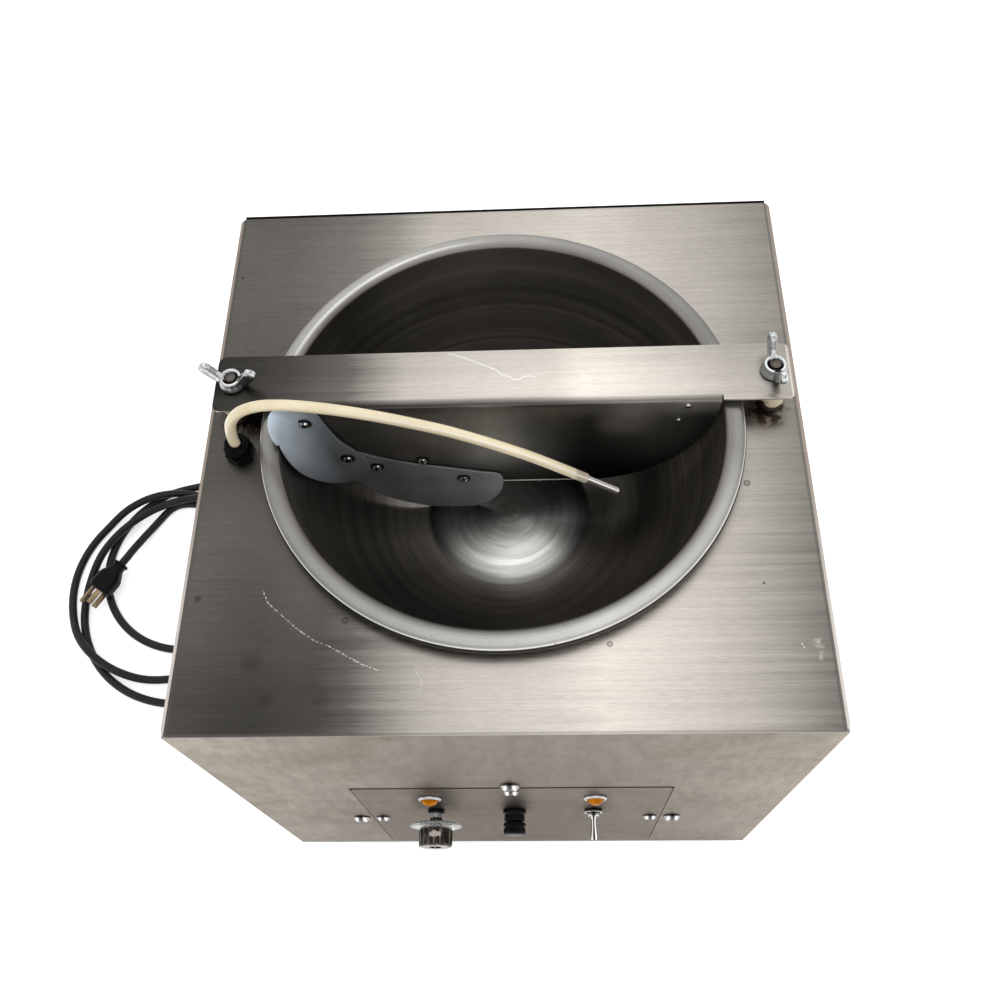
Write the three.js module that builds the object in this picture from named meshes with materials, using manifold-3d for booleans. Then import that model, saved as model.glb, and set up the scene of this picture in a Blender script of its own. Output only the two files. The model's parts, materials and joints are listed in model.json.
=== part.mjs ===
// Table-top chocolate melting unit: a folded stainless cabinet with a driven, lift-out bowl,
// a divider bridge with two scraper blades, a temperature probe and a front control plate.
// Millimetres, +Z up, front towards -Y. The bowl turns about Z.
import * as THREE from 'three';
import { mergeVertices } from 'three/addons/utils/BufferGeometryUtils.js';
import Module from 'manifold-3d';

const wasm = await Module();
wasm.setup();

// Cabinet sizes
const cabinetWidth = 406.4;
const cabinetDepth = 406.4;
const cabinetHeight = 385;
const sheet = 1.5;
const flangeWidth = 14;
const topCornerRadius = 5;
const footHeight = 12;
const footRadius = 12;
const footTaper = 2;
const footInset = 34;
const footRecessRadius = 4;
const footRecessDepth = 5;
// Clearance between pieces that touch, and the overrun of every cut
const seam = 0.3;
const overrun = 5;
const weldReach = 0.0001;

// Bowl: the mouth as a share of the cabinet's width, floor and depth as shares of the mouth
const bowlOffset = 6.5;
const mouthShare = 0.3666;
const floorShare = 0.423;
const depthShare = 0.92;
const bowlWall = 1.2;
const rimWidth = 14.2;
const rimRise = 14;
const rimCurl = 9;
const rimEdgeRadius = 3;
const openingClearance = 5;
const openingCollar = 8;

// Divider bridge, its lower edge as shares of the bowl's mouth and depth
const bridgeInset = 7.7;
const bridgeWidth = 44.5;
const bridgeFront = 13;
const bridgeSheet = 1.5;
const bridgeBend = 4;
const bridgeCornerRadius = 6;
const dividerGap = 1.5;
const dividerFlatShare = 0.4;
const dividerDropShare = 0.73;

// Bridge clamps: studs, spacers and wing nuts
const studRadius = 3.97;
const studInset = 20;
const studEndRise = 8.6;
const studHead = 3;
const studHeadRadius = 5.6;
const spacerHeight = 18;
const spacerWidth = 15;
const spacerLength = 41;
const nutBaseRadius = 9;
const nutNeckRadius = 7.3;
const nutHeight = 7.6;
const wingSpan = 39;
const wingRise = 16.5;
const wingThickness = 4;
const wingWidth = 8.5;
const leftNutTurn = THREE.MathUtils.degToRad(-12);
const rightNutTurn = THREE.MathUtils.degToRad(96);

// Scraper blades
const bladeThickness = 1.4;
const bladeFlex = 20;
const lowerBladeFlex = 4;

// Temperature probe
const glandShare = 0.36;
const glandY = -9;
const glandHexRadius = 10.3;
const glandBodyHeight = 6;
const glandTail = 12;
const glandTailRadius = 5.8;
const glandNutRadius = 9.3;
const glandNutTopRadius = 7.2;
const glandNutHeight = 9.6;
const sleeveRadius = 3.7;
const tipRadius = 2.35;
const tipLength = 31;
const probePast = 58;
const probeCrest = 61;

// Control plate in the front panel
const plateWidth = 233;
const plateHeight = 221.5;
const plateLift = 12;
const plateGap = 0.6;
const plateTopGap = 2.4;
const plateCornerRadius = 4;
const controlPitch = 62;
const lampDrop = 33.7;
const controlDrop = 82;
const strapLength = 38;
const strapWidth = 16;
const strapThickness = 2;

// Indicator lamps
const bezelRadius = 8.9;
const bezelReach = 2;
const lampBarrelRadius = 7;
const lampBarrelLength = 24;
const lensRadius = 6.6;
const lensReach = 5.6;
const lensSeat = 1.2;

// Temperature control and its knob
const potRadius = 12;
const potDepth = 12;
const bushRadius = 4.7;
const bushReach = 6;
const bushNutRadius = 7.3;
const bushNutThickness = 2.2;
const potShaftRadius = 3.17;
const knobReach = 28;
const knobRadius = 13.2;
const knobBase = 14.9;
const knobSleeveRadius = 5;
const skirtRadius = 20.4;
const skirtBack = 10.8;
const skirtThickness = 1.6;
const knobBoreEnd = 22;

// Fuse holder
const fuseCollarRadius = 9;
const fuseCollarReach = 9.6;
const fuseBodyRadius = 7;
const fuseBodyDepth = 34;
const fuseBoreRadius = 3.9;
const fuseCapRadius = 8.7;
const fuseCapReach = 19;
const fuseStemLength = 5;
const fuseRadius = 3.1;
const fuseLength = 31.8;

// Toggle switch
const toggleBodyWidth = 15;
const toggleBodyHeight = 28;
const toggleBodyDepth = 20;
const toggleBushRadius = 5.5;
const toggleBushReach = 8;
const toggleThroat = 3;
const toggleMouth = 4.6;
const toggleNutRadius = 8;
const toggleNutThickness = 2.2;
const leverPivot = 4;
const leverLength = 18.5;
const leverBallRadius = 2.7;
const leverNeckRadius = 1.5;
const leverTipRadius = 2.4;
const leverTilt = THREE.MathUtils.degToRad(12);

// Drive under the bowl
const shelfDrop = 18.6;
const shelfShare = 1.007;
const shelfDepth = 110;
const shelfSheet = 2;
const shelfFoot = 16;
const gearboxLength = 92;
const gearboxWidth = 64;
const gearboxHeight = 36;
const motorRadius = 32;
const motorLength = 62;
const motorOffset = 12;
const shaftRadius = 5;
const shaftLength = 50;
const hubInset = 3;
const hubPlate = 6;
const hubBossRadius = 14;
const hubBossHeight = 34;
const hubGroove = 2;

// Heater and circulation fan
const elementShare = 0.705;
const elementTube = 4;
const elementDrop = 12.8;
const elementLegGap = 24;
const clipThickness = 2;
const clipWidth = 14;
const fanSize = 92;
const fanDepth = 25;
const fanSideInset = 64.2;
const fanBackInset = 88.2;
const fanBore = 43;
const fanHubRadius = 17;
const fanBladeCount = 7;
const fanBladeThickness = 2;
const fanBladePitch = THREE.MathUtils.degToRad(35);
const fanSpider = 3;

// Control board
const boardWidth = 80;
const boardDepth = 100;
const boardThickness = 1.6;
const boardSideInset = 68.2;
const boardFrontInset = 93.2;
const standoff = 10;
const standoffRadius = 3;
const transformerSize = 34;
const relayHeight = 16;

// Base pan and vents
const panEdge = 20;
const ventSlotLength = 60;
const ventSlotWidth = 5;
const ventPitch = 14;
const ventCount = 6;
const ventHeight = 300;

// Power cord
const cordRadius = 4.1;
const cordLift = 0.15;
const cordGap = 0.9;
const coilSteps = 24;
const coilSides = 6;
const leadSides = 8;
const exitInset = 63.2;
const exitHeight = 42;
const reliefLength = 30;
const reliefRadius = 8;
const reliefFlangeRadius = 11;
const reliefFlange = 3;
const reliefShank = 6;
const plugLength = 36;
const plugWidth = 26;
const plugHeight = 19;
const prongLength = 17;
const prongWidth = 6.3;
const prongThickness = 1.5;
const prongSpacing = 12.7;
const prongOffset = 4;
const groundPinRadius = 2.4;
const groundPinLength = 20;
const groundPinSpacing = 11.9;

// Places worked out from the sizes above
const frontY = -cabinetDepth / 2;
const backY = cabinetDepth / 2;
const sideX = cabinetWidth / 2;
const topZ = footHeight + cabinetHeight;
const mouthRadius = cabinetWidth * mouthShare;
const bowlFloorRadius = mouthRadius * floorShare;
const bowlDepth = mouthRadius * depthShare;
const rimRadius = mouthRadius + rimWidth;
const rimZ = topZ + rimRise;
const bowlFloorZ = rimZ - bowlDepth;
const bridgeUnder = topZ + spacerHeight + 2 * seam;
const bridgeTop = bridgeUnder + bridgeSheet;
const bridgeBack = bridgeFront + bridgeWidth;
const studY = bridgeFront + bridgeWidth / 2;
const studX = sideX - studInset;
const bridgeLength = cabinetWidth - 2 * bridgeInset;
const dividerReach = mouthRadius - dividerGap;
const dividerFlat = mouthRadius * dividerFlatShare;
const dividerDrop = bowlDepth * dividerDropShare;
const glandX = -rimRadius - (sideX - rimRadius) * glandShare;
const probeReach = probePast - glandX;
const exitX = exitInset - sideX;
const plateBottom = footHeight + plateLift;
const plateTop = plateBottom + plateHeight;
const lampZ = plateTop - lampDrop;
const controlZ = plateTop - controlDrop;
const panTop = footHeight + sheet;
const shelfWidth = mouthRadius * shelfShare;
const hubRadius = bowlFloorRadius - hubInset;
const elementRadius = mouthRadius * elementShare;
const fanX = fanSideInset - sideX;
const fanY = backY - fanBackInset;
const boardX = sideX - boardSideInset;
const boardY = frontY + boardFrontInset;
const hubTop = bowlFloorZ - bowlWall - seam;
const shelfTop = hubTop - hubPlate - hubBossHeight - shelfDrop;
const elementHeight = shelfTop - elementDrop;

const steel = finish(0xb4b2ad, 0.38, 0.95);
const darkSteel = finish(0x8f8d88, 0.42, 0.95);
const bowlSteel = finish(0xa6a4a0, 0.3, 0.95);
const zinc = finish(0xc9ccce, 0.25, 0.95);
const brass = finish(0xb08d4a, 0.35, 0.9);
const nylon = finish(0xe4dcc6, 0.6, 0);
const milky = finish(0xd5dbde, 0.5, 0);
const sleeveCream = finish(0xeadfb4, 0.45, 0);
const black = finish(0x121212, 0.45, 0);
const rubber = finish(0x191919, 0.75, 0);
const amber = finish(0xf08a0c, 0.2, 0);
const smoke = finish(0x2c2624, 0.15, 0);
const clear = finish(0xe8e8e8, 0.1, 0);
const board = finish(0x2d5b3a, 0.6, 0);
const motorPaint = finish(0x5d6166, 0.5, 0.6);

function finish(color, roughness, metalness) {
  return new THREE.MeshStandardMaterial({ color, roughness, metalness });
}

// Solids: cleaning, joining and cutting

function clean(geometry) {
  const bare = new THREE.BufferGeometry();
  bare.setAttribute('position', geometry.getAttribute('position').clone());
  if (geometry.index) bare.setIndex(geometry.index.clone());
  const merged = mergeVertices(bare, weldReach);
  const index = [];
  for (let i = 0; i < merged.index.count; i += 3) {
    const [a, b, c] = [0, 1, 2].map((k) => merged.index.getX(i + k));
    if (a !== b && b !== c && c !== a) index.push(a, b, c);
  }
  merged.setIndex(index);
  return merged;
}

function toSolid(geometry) {
  const mesh = clean(geometry);
  return new wasm.Manifold(new wasm.Mesh({
    numProp: 3,
    vertProperties: new Float32Array(mesh.getAttribute('position').array),
    triVerts: new Uint32Array(mesh.index.array),
  }));
}

function toGeometry(solid) {
  const mesh = solid.getMesh();
  const geometry = new THREE.BufferGeometry();
  geometry.setAttribute('position', new THREE.BufferAttribute(new Float32Array(mesh.vertProperties), 3));
  geometry.setIndex([...mesh.triVerts]);
  return geometry;
}

function join(...parts) {
  return toGeometry(parts.map(toSolid).reduce((sum, part) => sum.add(part)));
}

function cut(base, ...tools) {
  return toGeometry(tools.map(toSolid).reduce((rest, tool) => rest.subtract(tool), toSolid(base)));
}

function common(first, second) {
  return toGeometry(toSolid(first).intersect(toSolid(second)));
}

// Shapes

function block([x0, x1], [y0, y1], [z0, z1]) {
  const box = new THREE.BoxGeometry(x1 - x0, y1 - y0, z1 - z0);
  return box.translate((x0 + x1) / 2, (y0 + y1) / 2, (z0 + z1) / 2);
}

function span(a, b) {
  return [Math.min(a, b), Math.max(a, b)];
}

function roundedOutline(width, height, radius) {
  const shape = new THREE.Shape();
  const [x, y] = [width / 2 - radius, height / 2 - radius];
  shape.absarc(x, y, radius, 0, Math.PI / 2);
  shape.absarc(-x, y, radius, Math.PI / 2, Math.PI);
  shape.absarc(-x, -y, radius, Math.PI, 1.5 * Math.PI);
  shape.absarc(x, -y, radius, 1.5 * Math.PI, 2 * Math.PI);
  return shape;
}

function outlineOf(points) {
  return new THREE.Shape(points.map(([a, b]) => new THREE.Vector2(a, b)));
}

function prism(shape, depth, curveSegments = 4) {
  return new THREE.ExtrudeGeometry(shape, { depth, bevelEnabled: false, curveSegments, steps: 1 });
}

// Turns a prism drawn in X and Y so that it is seen from the front and runs towards -Y
function facingFront(geometry) {
  return geometry.rotateX(Math.PI / 2);
}

// Turns a prism drawn in X and Y so that it is drawn in Y and Z and runs along +X
function alongX(geometry) {
  const turn = new THREE.Matrix4().makeBasis(
    new THREE.Vector3(0, 1, 0), new THREE.Vector3(0, 0, 1), new THREE.Vector3(1, 0, 0));
  return geometry.applyMatrix4(turn);
}

function turned(profile, segments) {
  const area = profile.reduce((sum, [r, h], i) => {
    const [nextR, nextH] = profile[(i + 1) % profile.length];
    return sum + r * nextH - nextR * h;
  }, 0);
  const ordered = area > 0 ? profile : [...profile].reverse();
  const closed = [...ordered, ordered[0]].map(([r, h]) => new THREE.Vector2(r, h));
  return clean(new THREE.LatheGeometry(closed, segments)).rotateX(Math.PI / 2);
}

function arc(radius, from, to, steps) {
  return Array.from({ length: steps + 1 }, (unused, i) => {
    const angle = THREE.MathUtils.lerp(from, to, i / steps);
    return [radius * Math.cos(angle), radius * Math.sin(angle)];
  });
}

function rod(radius, low, high, segments = 16) {
  return turned([[0, low], [radius, low], [radius, high], [0, high]], segments);
}

// A turned piece on the front: its profile gives radius and reach in front of the panel
function turnedFront(profile, segments, x, z) {
  return turned(profile, segments).rotateX(Math.PI / 2).translate(x, frontY, z);
}

// A hexagon nut against the front of the control plate, with a round bore
function panelNut(boreRadius, radius, thickness, x, z) {
  const nut = turnedFront([[0, seam], [radius, seam], [radius, seam + thickness], [0, seam + thickness]], 6, x, z);
  const high = thickness + overrun;
  return cut(nut, turnedFront([[0, -overrun], [boreRadius, -overrun], [boreRadius, high], [0, high]], 20, x, z));
}

function hexagon(radius, low, high) {
  return rod(radius, low, high, 6);
}

function tube(points, radius, sides, steps) {
  const ring = Array.from({ length: sides }, (unused, i) => {
    const angle = (i + 1 / 2) * 2 * Math.PI / sides;
    return [radius * Math.cos(angle), radius * Math.sin(angle)];
  });
  const path = new THREE.CatmullRomCurve3(points, false, 'centripetal');
  return new THREE.ExtrudeGeometry(outlineOf(ring), { extrudePath: path, steps, bevelEnabled: false });
}

function piece(name, geometry, material) {
  const mesh = new THREE.Mesh(clean(geometry), material);
  mesh.name = name;
  return mesh;
}

function sides(make) {
  return [make('left', -1), make('right', 1)];
}

// Cabinet

function topPanel() {
  const low = topZ - sheet;
  const plate = prism(roundedOutline(cabinetWidth, cabinetDepth, topCornerRadius), sheet).translate(0, 0, low);
  const openingRadius = mouthRadius + bowlWall + openingClearance;
  const collar = rod(openingRadius + sheet, low - openingCollar, low + sheet / 2, 64);
  const opening = rod(openingRadius, low - openingCollar - overrun, topZ + overrun, 64);
  const move = (geometry, x, y) => geometry.translate(x, y, 0);
  const holes = sides((side, sign) => move(rod(studRadius + seam, low - overrun, topZ + overrun), sign * studX, studY));
  const glandHole = move(rod(glandTailRadius + seam, low - overrun, topZ + overrun), glandX, glandY);
  const body = join(plate, move(collar, 0, bowlOffset));
  return piece('top_panel', cut(body, move(opening, 0, bowlOffset), glandHole, ...holes), steel);
}

function frontPanel() {
  const high = topZ - sheet - seam;
  const face = block([-sideX, sideX], [frontY, frontY + sheet], [footHeight, high]);
  const lipEnd = sideX - sheet - seam;
  const lip = block([-lipEnd, lipEnd], [frontY, frontY + flangeWidth], [high - sheet, high]);
  const hole = facingFront(prism(roundedOutline(plateWidth + 2 * plateGap, plateHeight + plateGap + plateTopGap,
    plateCornerRadius), sheet + 2 * overrun));
  hole.translate(0, frontY + sheet + overrun, (plateBottom - plateGap + plateTop + plateTopGap) / 2);
  return piece('front_panel', cut(join(face, lip), hole), steel);
}

function sidePanel(side, sign) {
  const inner = sideX - sheet;
  const [near, far] = [frontY + sheet + seam, backY - sheet - seam];
  const high = topZ - sheet - seam;
  const wall = block(span(sign * inner, sign * sideX), [near, far], [footHeight, high]);
  const ledge = block(span(sign * (sideX - flangeWidth), sign * sideX), [frontY + flangeWidth + seam, far],
    [high - sheet, high]);
  return piece(`side_panel_${side}`, join(wall, ledge), steel);
}

function backPanel() {
  const high = topZ - sheet - seam;
  const wall = block([-sideX, sideX], [backY - sheet, backY], [footHeight, high]);
  const slots = [];
  for (let i = 0; i < ventCount; i += 1) {
    const z = ventHeight - i * ventPitch;
    for (const x of [-ventSlotLength, ventSlotLength]) {
      slots.push(block([x - ventSlotLength / 2, x + ventSlotLength / 2],
        [backY - sheet - overrun, backY + overrun], [z - ventSlotWidth, z]));
    }
  }
  const cordHole = rod(reliefRadius + seam, -overrun, sheet + overrun).rotateX(Math.PI / 2);
  cordHole.translate(exitX, backY, exitHeight);
  return piece('back_panel', cut(wall, ...slots, cordHole), steel);
}

function basePan() {
  const [halfX, halfY] = [sideX - sheet - seam, backY - sheet - seam];
  const outer = block([-halfX, halfX], [-halfY, halfY], [footHeight, footHeight + panEdge]);
  const inside = block([-halfX + sheet, halfX - sheet], [-halfY + sheet, halfY - sheet],
    [panTop, footHeight + panEdge + overrun]);
  const slots = [];
  for (let i = 0; i < ventCount; i += 1) {
    const y = fanY + (i - (ventCount - 1) / 2) * ventPitch;
    slots.push(block([fanX - ventSlotLength / 2, fanX + ventSlotLength / 2],
      [y - ventSlotWidth / 2, y + ventSlotWidth / 2], [footHeight - overrun, panTop + overrun]));
  }
  return piece('base_pan', cut(outer, inside, ...slots), darkSteel);
}

function feet() {
  const profile = [[footRecessRadius, 0], [footRadius - footTaper, 0], [footRadius, footHeight - seam],
    [0, footHeight - seam], [0, footRecessDepth], [footRecessRadius, footRecessDepth]];
  const made = [];
  for (const [end, signY] of [['front', -1], ['rear', 1]]) {
    made.push(...sides((side, sign) => {
      const foot = turned(profile, 20).translate(sign * (sideX - footInset), signY * (backY - footInset), 0);
      return piece(`foot_${end}_${side}`, foot, rubber);
    }));
  }
  return made;
}

// Control plate and what is on it

function controlPlate() {
  const plate = facingFront(prism(roundedOutline(plateWidth, plateHeight, plateCornerRadius), sheet));
  plate.translate(0, frontY + sheet, (plateBottom + plateTop) / 2);
  const bore = (radius, x, z) => turnedFront(
    [[0, -sheet - overrun], [radius, -sheet - overrun], [radius, overrun], [0, overrun]], 20, x, z);
  const holes = [
    bore(lampBarrelRadius + seam, -controlPitch, lampZ),
    bore(lampBarrelRadius + seam, controlPitch, lampZ),
    bore(bushRadius + seam, -controlPitch, controlZ),
    bore(fuseBodyRadius + seam, 0, controlZ),
    bore(toggleBushRadius + seam, controlPitch, controlZ),
  ];
  return piece('control_plate', cut(plate, ...holes), steel);
}

// The plate's lower edge is backed by the upturned edge of the base pan
function plateStraps() {
  const back = frontY + sheet + seam;
  const middle = (plateBottom + plateTop) / 2;
  const edge = (plateWidth + plateGap) / 2;
  const strap = (name, x, z, width, height) => piece(name, block([x - width / 2, x + width / 2],
    [back, back + strapThickness], [z - height / 2, z + height / 2]), darkSteel);
  return [
    strap('plate_strap_left', -edge, middle, strapLength, strapWidth),
    strap('plate_strap_right', edge, middle, strapLength, strapWidth),
    strap('plate_strap_top', 0, plateTop, strapWidth, strapLength),
  ];
}

function lamps() {
  const bezel = [[0, -lampBarrelLength], [lampBarrelRadius, -lampBarrelLength], [lampBarrelRadius, seam],
    [bezelRadius, seam], [bezelRadius - seam, bezelReach], [lensRadius + seam, bezelReach],
    [lensRadius + seam, lensSeat], [0, lensSeat]];
  const lens = [[0, lensSeat + seam], [lensRadius, lensSeat + seam], [lensRadius, bezelReach]];
  const domeSteps = 4;
  for (let i = 1; i <= domeSteps; i += 1) {
    const angle = i * Math.PI / 2 / domeSteps;
    const rise = (lensReach - bezelReach) * Math.sin(angle);
    lens.push([i === domeSteps ? 0 : lensRadius * Math.cos(angle), bezelReach + rise]);
  }
  return sides((side, sign) => [
    piece(`lamp_bezel_${side}`, turnedFront(bezel, 24, sign * controlPitch, lampZ), zinc),
    piece(`lamp_lens_${side}`, turnedFront(lens, 16, sign * controlPitch, lampZ), amber),
  ]).flat();
}

function temperatureControl() {
  const at = (profile, segments) => turnedFront(profile, segments, -controlPitch, controlZ);
  const potBack = -sheet - seam - potDepth;
  const shaftHole = potShaftRadius + seam;
  const shaftTail = -sheet - seam;
  const body = [[0, potBack], [potRadius, potBack], [potRadius, -sheet - seam], [bushRadius, -sheet - seam],
    [bushRadius, bushReach], [shaftHole, bushReach], [shaftHole, shaftTail], [0, shaftTail]];
  const nut = panelNut(bushRadius + seam, bushNutRadius, bushNutThickness, -controlPitch, controlZ);
  const shaft = [[0, shaftTail + seam], [potShaftRadius, shaftTail + seam],
    [potShaftRadius, knobBoreEnd - seam], [0, knobBoreEnd - seam]];
  const sleeveStart = bushReach + seam;
  const knob = [[potShaftRadius + seam, sleeveStart], [knobSleeveRadius, sleeveStart],
    [knobSleeveRadius, knobBase], [knobRadius, knobBase], [knobRadius, knobReach - seam],
    [knobRadius - seam, knobReach], [0, knobReach], [0, knobBoreEnd], [potShaftRadius + seam, knobBoreEnd]];
  const skirtHole = knobSleeveRadius + seam;
  const skirt = [[skirtHole, skirtBack + skirtThickness], [skirtRadius, skirtBack],
    [skirtRadius, skirtBack + skirtThickness], [knobRadius, knobBase - seam], [skirtHole, knobBase - seam]];
  return [
    piece('temperature_control', at(body, 24), darkSteel),
    piece('control_nut', nut, zinc),
    piece('control_shaft', at(shaft, 16), zinc),
    piece('knob_body', at(knob, 24), smoke),
    piece('knob_skirt', at(skirt, 24), clear),
  ];
}

function fuseHolder() {
  const at = (profile, segments) => turnedFront(profile, segments, 0, controlZ);
  const stem = fuseBoreRadius - seam;
  const boreEnd = fuseCollarReach - fuseStemLength - fuseLength - 3 * seam;
  const holder = [[0, -fuseBodyDepth], [fuseBodyRadius, -fuseBodyDepth], [fuseBodyRadius, seam],
    [fuseCollarRadius, seam], [fuseCollarRadius, fuseCollarReach], [fuseBoreRadius, fuseCollarReach],
    [fuseBoreRadius, boreEnd], [0, boreEnd]];
  const cap = [[0, fuseCollarReach - fuseStemLength], [stem, fuseCollarReach - fuseStemLength],
    [stem, fuseCollarReach + seam], [fuseCapRadius, fuseCollarReach + seam],
    [fuseCapRadius, fuseCapReach - stem / 2], [fuseCapRadius - stem / 4, fuseCapReach], [0, fuseCapReach]];
  const fuseFront = fuseCollarReach - fuseStemLength - seam;
  const fuse = [[0, fuseFront - fuseLength], [fuseRadius, fuseFront - fuseLength],
    [fuseRadius, fuseFront], [0, fuseFront]];
  const slotDepth = fuseCapRadius / 8;
  const slot = block([-fuseCapRadius, fuseCapRadius], [frontY - fuseCapReach - overrun, frontY - fuseCapReach + slotDepth],
    [controlZ - slotDepth, controlZ + slotDepth]);
  return [
    piece('fuse_holder', at(holder, 24), black),
    piece('fuse_cap', cut(at(cap, 24), slot), black),
    piece('glass_fuse', at(fuse, 12), zinc),
  ];
}

function toggleSwitch() {
  const back = frontY + sheet + seam;
  const body = block([controlPitch - toggleBodyWidth / 2, controlPitch + toggleBodyWidth / 2],
    [back, back + toggleBodyDepth], [controlZ - toggleBodyHeight / 2, controlZ + toggleBodyHeight / 2]);
  const at = (profile, segments) => turnedFront(profile, segments, controlPitch, controlZ);
  const bushBack = -sheet - seam - overrun;
  const bush = at([[0, bushBack], [toggleBushRadius, bushBack], [toggleBushRadius, toggleBushReach],
    [toggleMouth, toggleBushReach], [toggleThroat, leverPivot + leverBallRadius],
    [toggleThroat, leverPivot - toggleThroat], [0, leverPivot - toggleThroat]], 20);
  const nut = panelNut(toggleBushRadius + seam, toggleNutRadius, toggleNutThickness, controlPitch, controlZ);
  const ball = arc(leverBallRadius, -Math.PI / 2, Math.asin(leverNeckRadius / leverBallRadius) + Math.PI / 6, 6);
  const lever = turned([...ball, [leverNeckRadius, leverBallRadius], [leverTipRadius, leverLength - leverTipRadius],
    [leverTipRadius / 2, leverLength], [0, leverLength]], 12).rotateX(Math.PI / 2);
  lever.rotateX(leverTilt).translate(controlPitch, frontY - leverPivot, controlZ);
  return [
    piece('toggle_body', join(body, bush), darkSteel),
    piece('toggle_nut', nut, zinc),
    piece('toggle_lever', lever, zinc),
  ];
}

// Bowl and its drive

function bowlSection(offset) {
  const points = [];
  const steps = 8;
  for (let i = 0; i <= steps; i += 1) {
    const angle = i * Math.PI / 2 / steps;
    const radius = bowlFloorRadius + (mouthRadius - bowlFloorRadius + offset) * Math.sin(angle);
    const height = bowlFloorZ - offset + (bowlDepth - rimEdgeRadius + offset) * (1 - Math.cos(angle));
    points.push([radius, height]);
  }
  return points;
}

function bowl() {
  const inner = bowlSection(0);
  const outer = bowlSection(bowlWall);
  const lip = [
    [mouthRadius + rimEdgeRadius / 3, rimZ - rimEdgeRadius / 3],
    [mouthRadius + rimEdgeRadius, rimZ],
    [rimRadius - rimEdgeRadius, rimZ],
    [rimRadius - rimEdgeRadius / 4, rimZ - rimEdgeRadius / 2],
    [rimRadius, rimZ - rimEdgeRadius],
    [rimRadius, rimZ - rimCurl + bowlWall],
    [rimRadius - rimEdgeRadius / 2, rimZ - rimCurl],
    [rimRadius - rimEdgeRadius, rimZ - rimCurl + bowlWall],
    [rimRadius - bowlWall, rimZ - rimCurl + 2 * bowlWall],
    [rimRadius - bowlWall, rimZ - rimEdgeRadius],
    [rimRadius - rimEdgeRadius, rimZ - bowlWall],
    [mouthRadius + rimEdgeRadius, rimZ - bowlWall],
  ];
  const profile = [[0, bowlFloorZ], ...inner, ...lip, ...[...outer].reverse(), [0, bowlFloorZ - bowlWall]];
  return piece('bowl', turned(profile, 64).translate(0, bowlOffset, 0), bowlSteel);
}

function drive() {
  const shelfUnder = shelfTop - shelfSheet;
  const gearTop = shelfUnder - seam;
  const gearLow = gearTop - gearboxHeight;
  const centred = (geometry) => geometry.translate(0, bowlOffset, 0);
  const half = shelfWidth / 2;
  const floor = panTop + seam;
  const hat = [[-half - shelfFoot, floor], [-half, floor], [-half, shelfUnder], [half, shelfUnder], [half, floor],
    [half + shelfFoot, floor], [half + shelfFoot, floor + shelfSheet], [half + shelfSheet, floor + shelfSheet],
    [half + shelfSheet, shelfTop], [-half - shelfSheet, shelfTop], [-half - shelfSheet, floor + shelfSheet],
    [-half - shelfFoot, floor + shelfSheet]];
  const shelf = facingFront(prism(outlineOf(hat), shelfDepth)).translate(0, shelfDepth / 2, 0);
  const shaftHole = rod(shaftRadius + overrun / 2, shelfUnder - overrun, shelfTop + overrun);
  const gearbox = prism(roundedOutline(gearboxLength, gearboxWidth, gearboxWidth / 4), gearboxHeight);
  const motor = rod(motorRadius, gearLow - seam - motorLength, gearLow - seam, 24);
  const shaft = rod(shaftRadius, gearTop + seam, gearTop + seam + shaftLength);
  const discLow = hubTop - hubPlate;
  const hub = [[shaftRadius + seam, discLow - hubBossHeight], [hubBossRadius, discLow - hubBossHeight],
    [hubBossRadius, discLow], [hubRadius, discLow], [hubRadius, hubTop], [hubRadius * 3 / 4, hubTop],
    [hubRadius * 3 / 4, hubTop - hubGroove], [0, hubTop - hubGroove],
    [0, gearTop + shaftLength + 2 * seam], [shaftRadius + seam, gearTop + shaftLength + 2 * seam]];
  return [
    piece('motor_shelf', centred(cut(shelf, shaftHole)), darkSteel),
    piece('gearbox', centred(gearbox.translate(0, 0, gearLow)), motorPaint),
    piece('drive_motor', centred(motor.translate(motorOffset, 0, 0)), motorPaint),
    piece('output_shaft', centred(shaft), zinc),
    piece('drive_hub', centred(turned(hub, 24)), darkSteel),
  ];
}

function heater() {
  const z = elementHeight;
  const points = [new THREE.Vector3(-elementLegGap / 2, -elementRadius, panTop + seam)];
  points.push(new THREE.Vector3(-elementLegGap / 2, -elementRadius, z - elementLegGap));
  const arcSteps = 24;
  const start = -Math.PI / 2 - elementLegGap / elementRadius;
  const sweep = -2 * Math.PI + 2 * elementLegGap / elementRadius;
  for (let i = 0; i <= arcSteps; i += 1) {
    const angle = start + sweep * i / arcSteps;
    points.push(new THREE.Vector3(elementRadius * Math.cos(angle), elementRadius * Math.sin(angle), z));
  }
  points.push(new THREE.Vector3(elementLegGap / 2, -elementRadius, z - elementLegGap));
  points.push(new THREE.Vector3(elementLegGap / 2, -elementRadius, panTop + seam));
  const element = tube(points, elementTube, 6, 56).translate(0, bowlOffset, 0);
  const clips = sides((side, sign) => {
    const near = shelfWidth / 2 + shelfSheet + seam;
    const far = elementRadius + clipWidth;
    const height = [z - clipWidth / 2, z + clipWidth / 2];
    const plate = block(span(sign * near, sign * far), [-clipThickness / 2, clipThickness / 2], height);
    const hole = rod(elementTube + 2 * seam, -overrun, overrun).rotateX(Math.PI / 2);
    hole.translate(sign * elementRadius, 0, z);
    const foot = block(span(sign * near, sign * (near + clipThickness)), [-clipWidth / 2, clipWidth / 2], height);
    return piece(`element_clip_${side}`, cut(join(plate, foot), hole).translate(0, bowlOffset, 0), zinc);
  });
  return [piece('heating_element', element, darkSteel), ...clips];
}

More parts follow.
